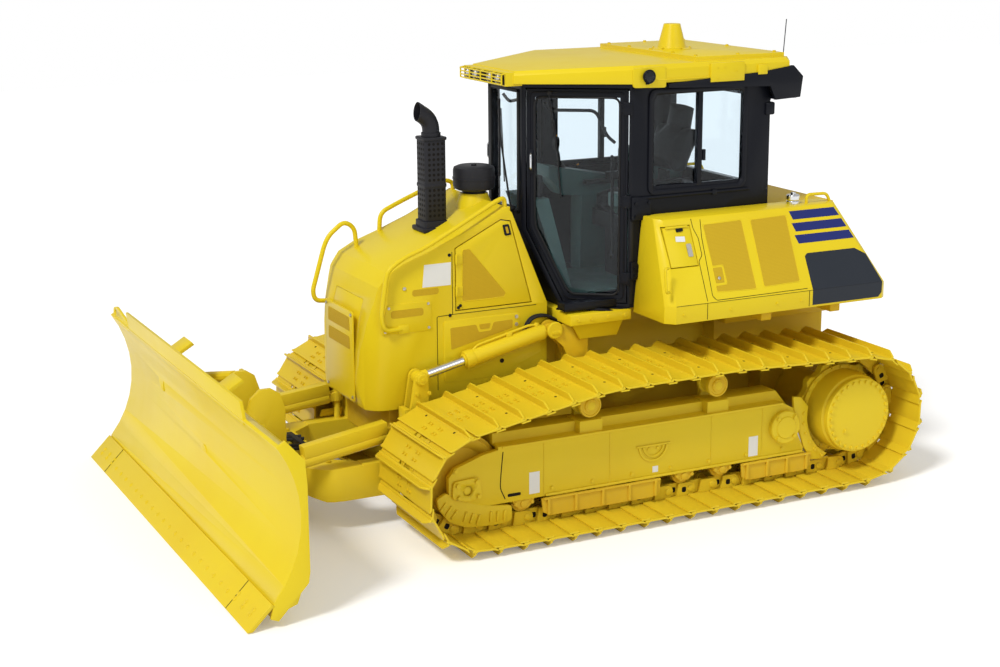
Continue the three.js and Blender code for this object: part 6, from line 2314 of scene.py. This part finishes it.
@dataclass
class BladeGear:
    """The blade, its edge, the C-frame, the swivel and all cylinders with their hoses."""

    lift_x: float = 0.545
    frame_outer: float = 0.605
    edge_front: float = -2.731
    edge_pitch: float = 0.144
    lift_pin: tuple[float, float] = (0.06, 1.265)
    lift_eye: tuple[float, float] = (-0.985, 1.035)

    def blade(self) -> None:
        """Rounds the blade and bolts its cutting edge."""
        dress(refined("blade", "moldboard", 0.005, 2, 26), "body_yellow", "blade")
        dress(refined("cutting_edge", "edge_bar", 0.003, 2), "frame_yellow", "blade")
        turn = Matrix.Rotation(math.radians(45), 4, "X")
        bolt = turned(
            "bolt", [(0, 0.0), (0.017, 0.0), (0.0165, 0.003), (0.01, 0.005), (0.009, 0.002), (0, 0.002)],
            (0, 0, 0), Z, 14,
        )
        places = []
        for k in range(26):
            x = -1.8 + k * self.edge_pitch
            for share in (0.06, 0.088):
                if share == 0.088 and 2 < k < 23:
                    continue
                places.append(Matrix.Translation((x, self.edge_front + share, 0.006 + share)) @ turn)
        dress(repeated("edge_bolts", bolt, places), "frame_yellow", "blade")
        # lines of painted shade in the gaps between the cutting edge's pieces
        seams = [tube("seam", [(x, -2.729, 0.009), (x, -2.573, 0.165)], 0.0025, 0.01, 1) for x in (-1.5, 1.5)]
        gathered("edge_seams", seams, "dark_hole", "blade")
        tab = plate(
            "tab",
            softened([(-1.905, 1.1), (-1.44, 1.1), (-1.46, 1.165), (-1.78, 1.225), (-1.88, 1.205)], 0.03),
            Y, -2.492, -2.472, 0.004,
        )
        cut_away(tab, bar("hole", (-1.82, -2.55, 1.175), (-1.82, -2.4, 1.175), 0.022, 24))
        dress(tab, "body_yellow", "blade")
        bolts = [(x, -2.3, 1.0) for x in (-1.06, -0.7, 0.7, 1.06)]
        dress(bolt_heads("back_bolts", bolts, Y, 0.014, 0.012), "body_yellow", "blade")

    def frames(self) -> None:
        """Rounds the C-frame and the swivel and adds plates, steps and bolts."""
        dress(refined("c_frame", "push_frame", 0.007), "frame_yellow", "lift_frame")
        dress(refined("blade_swivel", "swivel_block", 0.006), "frame_yellow", "swivel")
        x = self.frame_outer
        parts = [turned(
            "cap", [(0, 0), (0.095, 0), (0.095, 0.008), (0.084, 0.014), (0, 0.014)], (x, 0.15, 0.45), X, 40
        )]
        parts.append(bolt_heads("bolts", bolt_ring((x + 0.012, 0.15, 0.45), X, 0.07, 6), X, 0.01, 0.009))
        step = plate(
            "step", softened([(-1.3, 0.49), (-1.02, 0.49), (-1.04, 0.545), (-1.28, 0.545)], 0.02), X,
            x - 0.012, x - 0.002, 0.003,
        )
        parts.append(step)
        for z in (0.83, 0.93):
            parts.append(bolt_heads("bolts", [(x, -0.93, z), (x, -1.02, z)], X, 0.013, 0.012))
        both_sides("frame_caps", parts, "frame_yellow", "lift_frame")
        top = [(px, py, 0.48) for px in (-0.42, -0.14, 0.14, 0.42) for py in (-1.62, -1.74)]
        dress(bolt_heads("nose_bolts", top, Z, 0.016, 0.014), "frame_yellow", "lift_frame")

    def lift(self) -> None:
        """Builds the lift cylinders with their cover plates and pin plates."""
        cylinder = Cylinder((self.lift_x, *self.lift_pin), (self.lift_x, *self.lift_eye), 0.69, 0.058, 0.032)
        pin = Vector(cylinder.start)
        eye = bar("eye", pin - Vector((0.031, 0, 0)), pin + Vector((0.031, 0, 0)), 0.048, 36, 0.004)
        neck = bar("neck", cylinder.at(0.03), cylinder.at(0.08), 0.034, 24)
        bore = bar("bore", pin - Vector((0.1, 0, 0)), pin + Vector((0.1, 0, 0)), 0.0315, 32)
        eye = cut_away(joined("eye", [eye, neck]), bore)
        port = bar("port", cylinder.at(0.12, 0.045), cylinder.at(0.12, 0.082), 0.017, 20, 0.003)
        pipe = tube(
            "pipe",
            [
                cylinder.at(0.12, 0.066), cylinder.at(0.18, 0.082), cylinder.at(0.6, 0.076),
                cylinder.at(0.64, 0.05),
            ],
            0.009, 0.03, 3,
        )
        clamp = block("clamp", (self.lift_x - 0.02, -0.3, 1.225), (self.lift_x + 0.02, -0.26, 1.275), 0.004)
        barrel = [eye, *cylinder.shell(), port, pipe, clamp]
        both_sides("lift_cylinder", barrel, "frame_yellow", "lift_barrel_", "lift_barrel")
        shaft = bar("shaft", cylinder.at(0.39), cylinder.at(1.045), 0.032, 40)
        both_sides("lift_shaft", [shaft], "chrome", "lift_rod_", "lift_rod")
        tip = Vector(cylinder.end)
        end = bar("end", tip - Vector((0.029, 0, 0)), tip + Vector((0.029, 0, 0)), 0.047, 36, 0.004)
        collar = bar("collar", cylinder.at(1.0), cylinder.at(1.045), 0.038, 32, 0.004)
        both_sides("lift_end", [end, collar], "frame_yellow", "lift_rod_")
        x = self.frame_outer
        ear = [turned(
            "ear", [(0, 0), (0.062, 0), (0.062, 0.008), (0.054, 0.014), (0, 0.014)], (x, *self.lift_pin),
            X, 40,
        )]
        keeper = plate(
            "keeper", softened([(0.03, 1.235), (0.11, 1.235), (0.11, 1.262), (0.03, 1.262)], 0.01), X,
            x + 0.012, x + 0.02, 0.002,
        )
        ear += [keeper, bolt_heads("bolts", [(x + 0.02, 0.094, 1.2485)], X, 0.01, 0.009)]
        both_sides("pin_plate", ear, "frame_yellow")
        tower = [turned(
            "cap", [(0, 0), (0.04, 0), (0.04, 0.008), (0.034, 0.012), (0, 0.012)],
            (x + 0.014, *self.lift_eye), X, 36,
        )]
        tower.append(bolt_heads("bolts", [(x + 0.026, -0.985, 1.035)], X, 0.012, 0.01))
        both_sides("tower_pin", tower, "frame_yellow", "lift_frame")

    def angle(self) -> None:
        """Rounds the angle and tilt cylinders."""
        parts = (("barrel", "cylinder", 0.005, "frame_yellow"), ("rod", "shaft", 0.002, "chrome"))
        for word in [side.word for side in Side]:
            for part, look, width, finish in parts:
                node = f"angle_{part}_{word}"
                dress(refined(node, f"angle_{look}_{word}", width), finish, node)
        dress(refined("tilt_barrel", "tilt_cylinder", 0.004), "frame_yellow", "tilt_barrel")
        dress(refined("tilt_rod", "tilt_shaft", 0.002), "chrome", "tilt_rod")

    def hoses(self) -> None:
        """Leads the hoses from the hull to the cylinders."""
        runs = []
        for k in range(3):
            d = 0.026 * k
            runs.append([
                (0.5 - d, 0.22, 1.24 - d * 0.4), (0.5 - d, 0.06, 1.36), (0.5 - d, -0.08, 1.35),
                (0.5 - d, -0.13, 1.24), (0.44, -0.06 - d, 1.2),
            ])
        hoses = [tube("hose", run, 0.011, 0.07, 3) for run in runs]
        both_sides("lift_hoses", hoses, "hose_rubber")
        nose = []
        for k, x in enumerate((-0.12, -0.06, 0.06, 0.12)):
            nose.append(tube(
                "hose",
                [
                    (x, -1.62, 0.515), (x * 1.3, -1.7, 0.512), (x * 1.6, -1.8, 0.512 + 0.008 * k),
                    (x * 1.8, -1.9, 0.515),
                ],
                0.013, 0.05, 3,
            ))
        nose.append(block("clip", (-0.21, -1.7, 0.48), (0.21, -1.66, 0.533), 0.004))
        gathered("nose_hoses", nose, "hose_rubber", "lift_frame")

    def build(self) -> None:
        """Builds the blade and all that moves it."""
        self.blade()
        self.frames()
        self.lift()
        self.angle()
        self.hoses()


ASSEMBLIES = [Track(), Undercarriage(), Hood(), Cab(), SideBoxes(), Rear(), BladeGear()]


# ---- all of it


def main() -> None:
    """Builds the studio and all sub-assemblies."""
    logging.basicConfig(level=logging.INFO)
    Studio().build()
    for assembly in ASSEMBLIES:
        assembly.build()
    deselect()


if __name__ == "__main__":
    main()
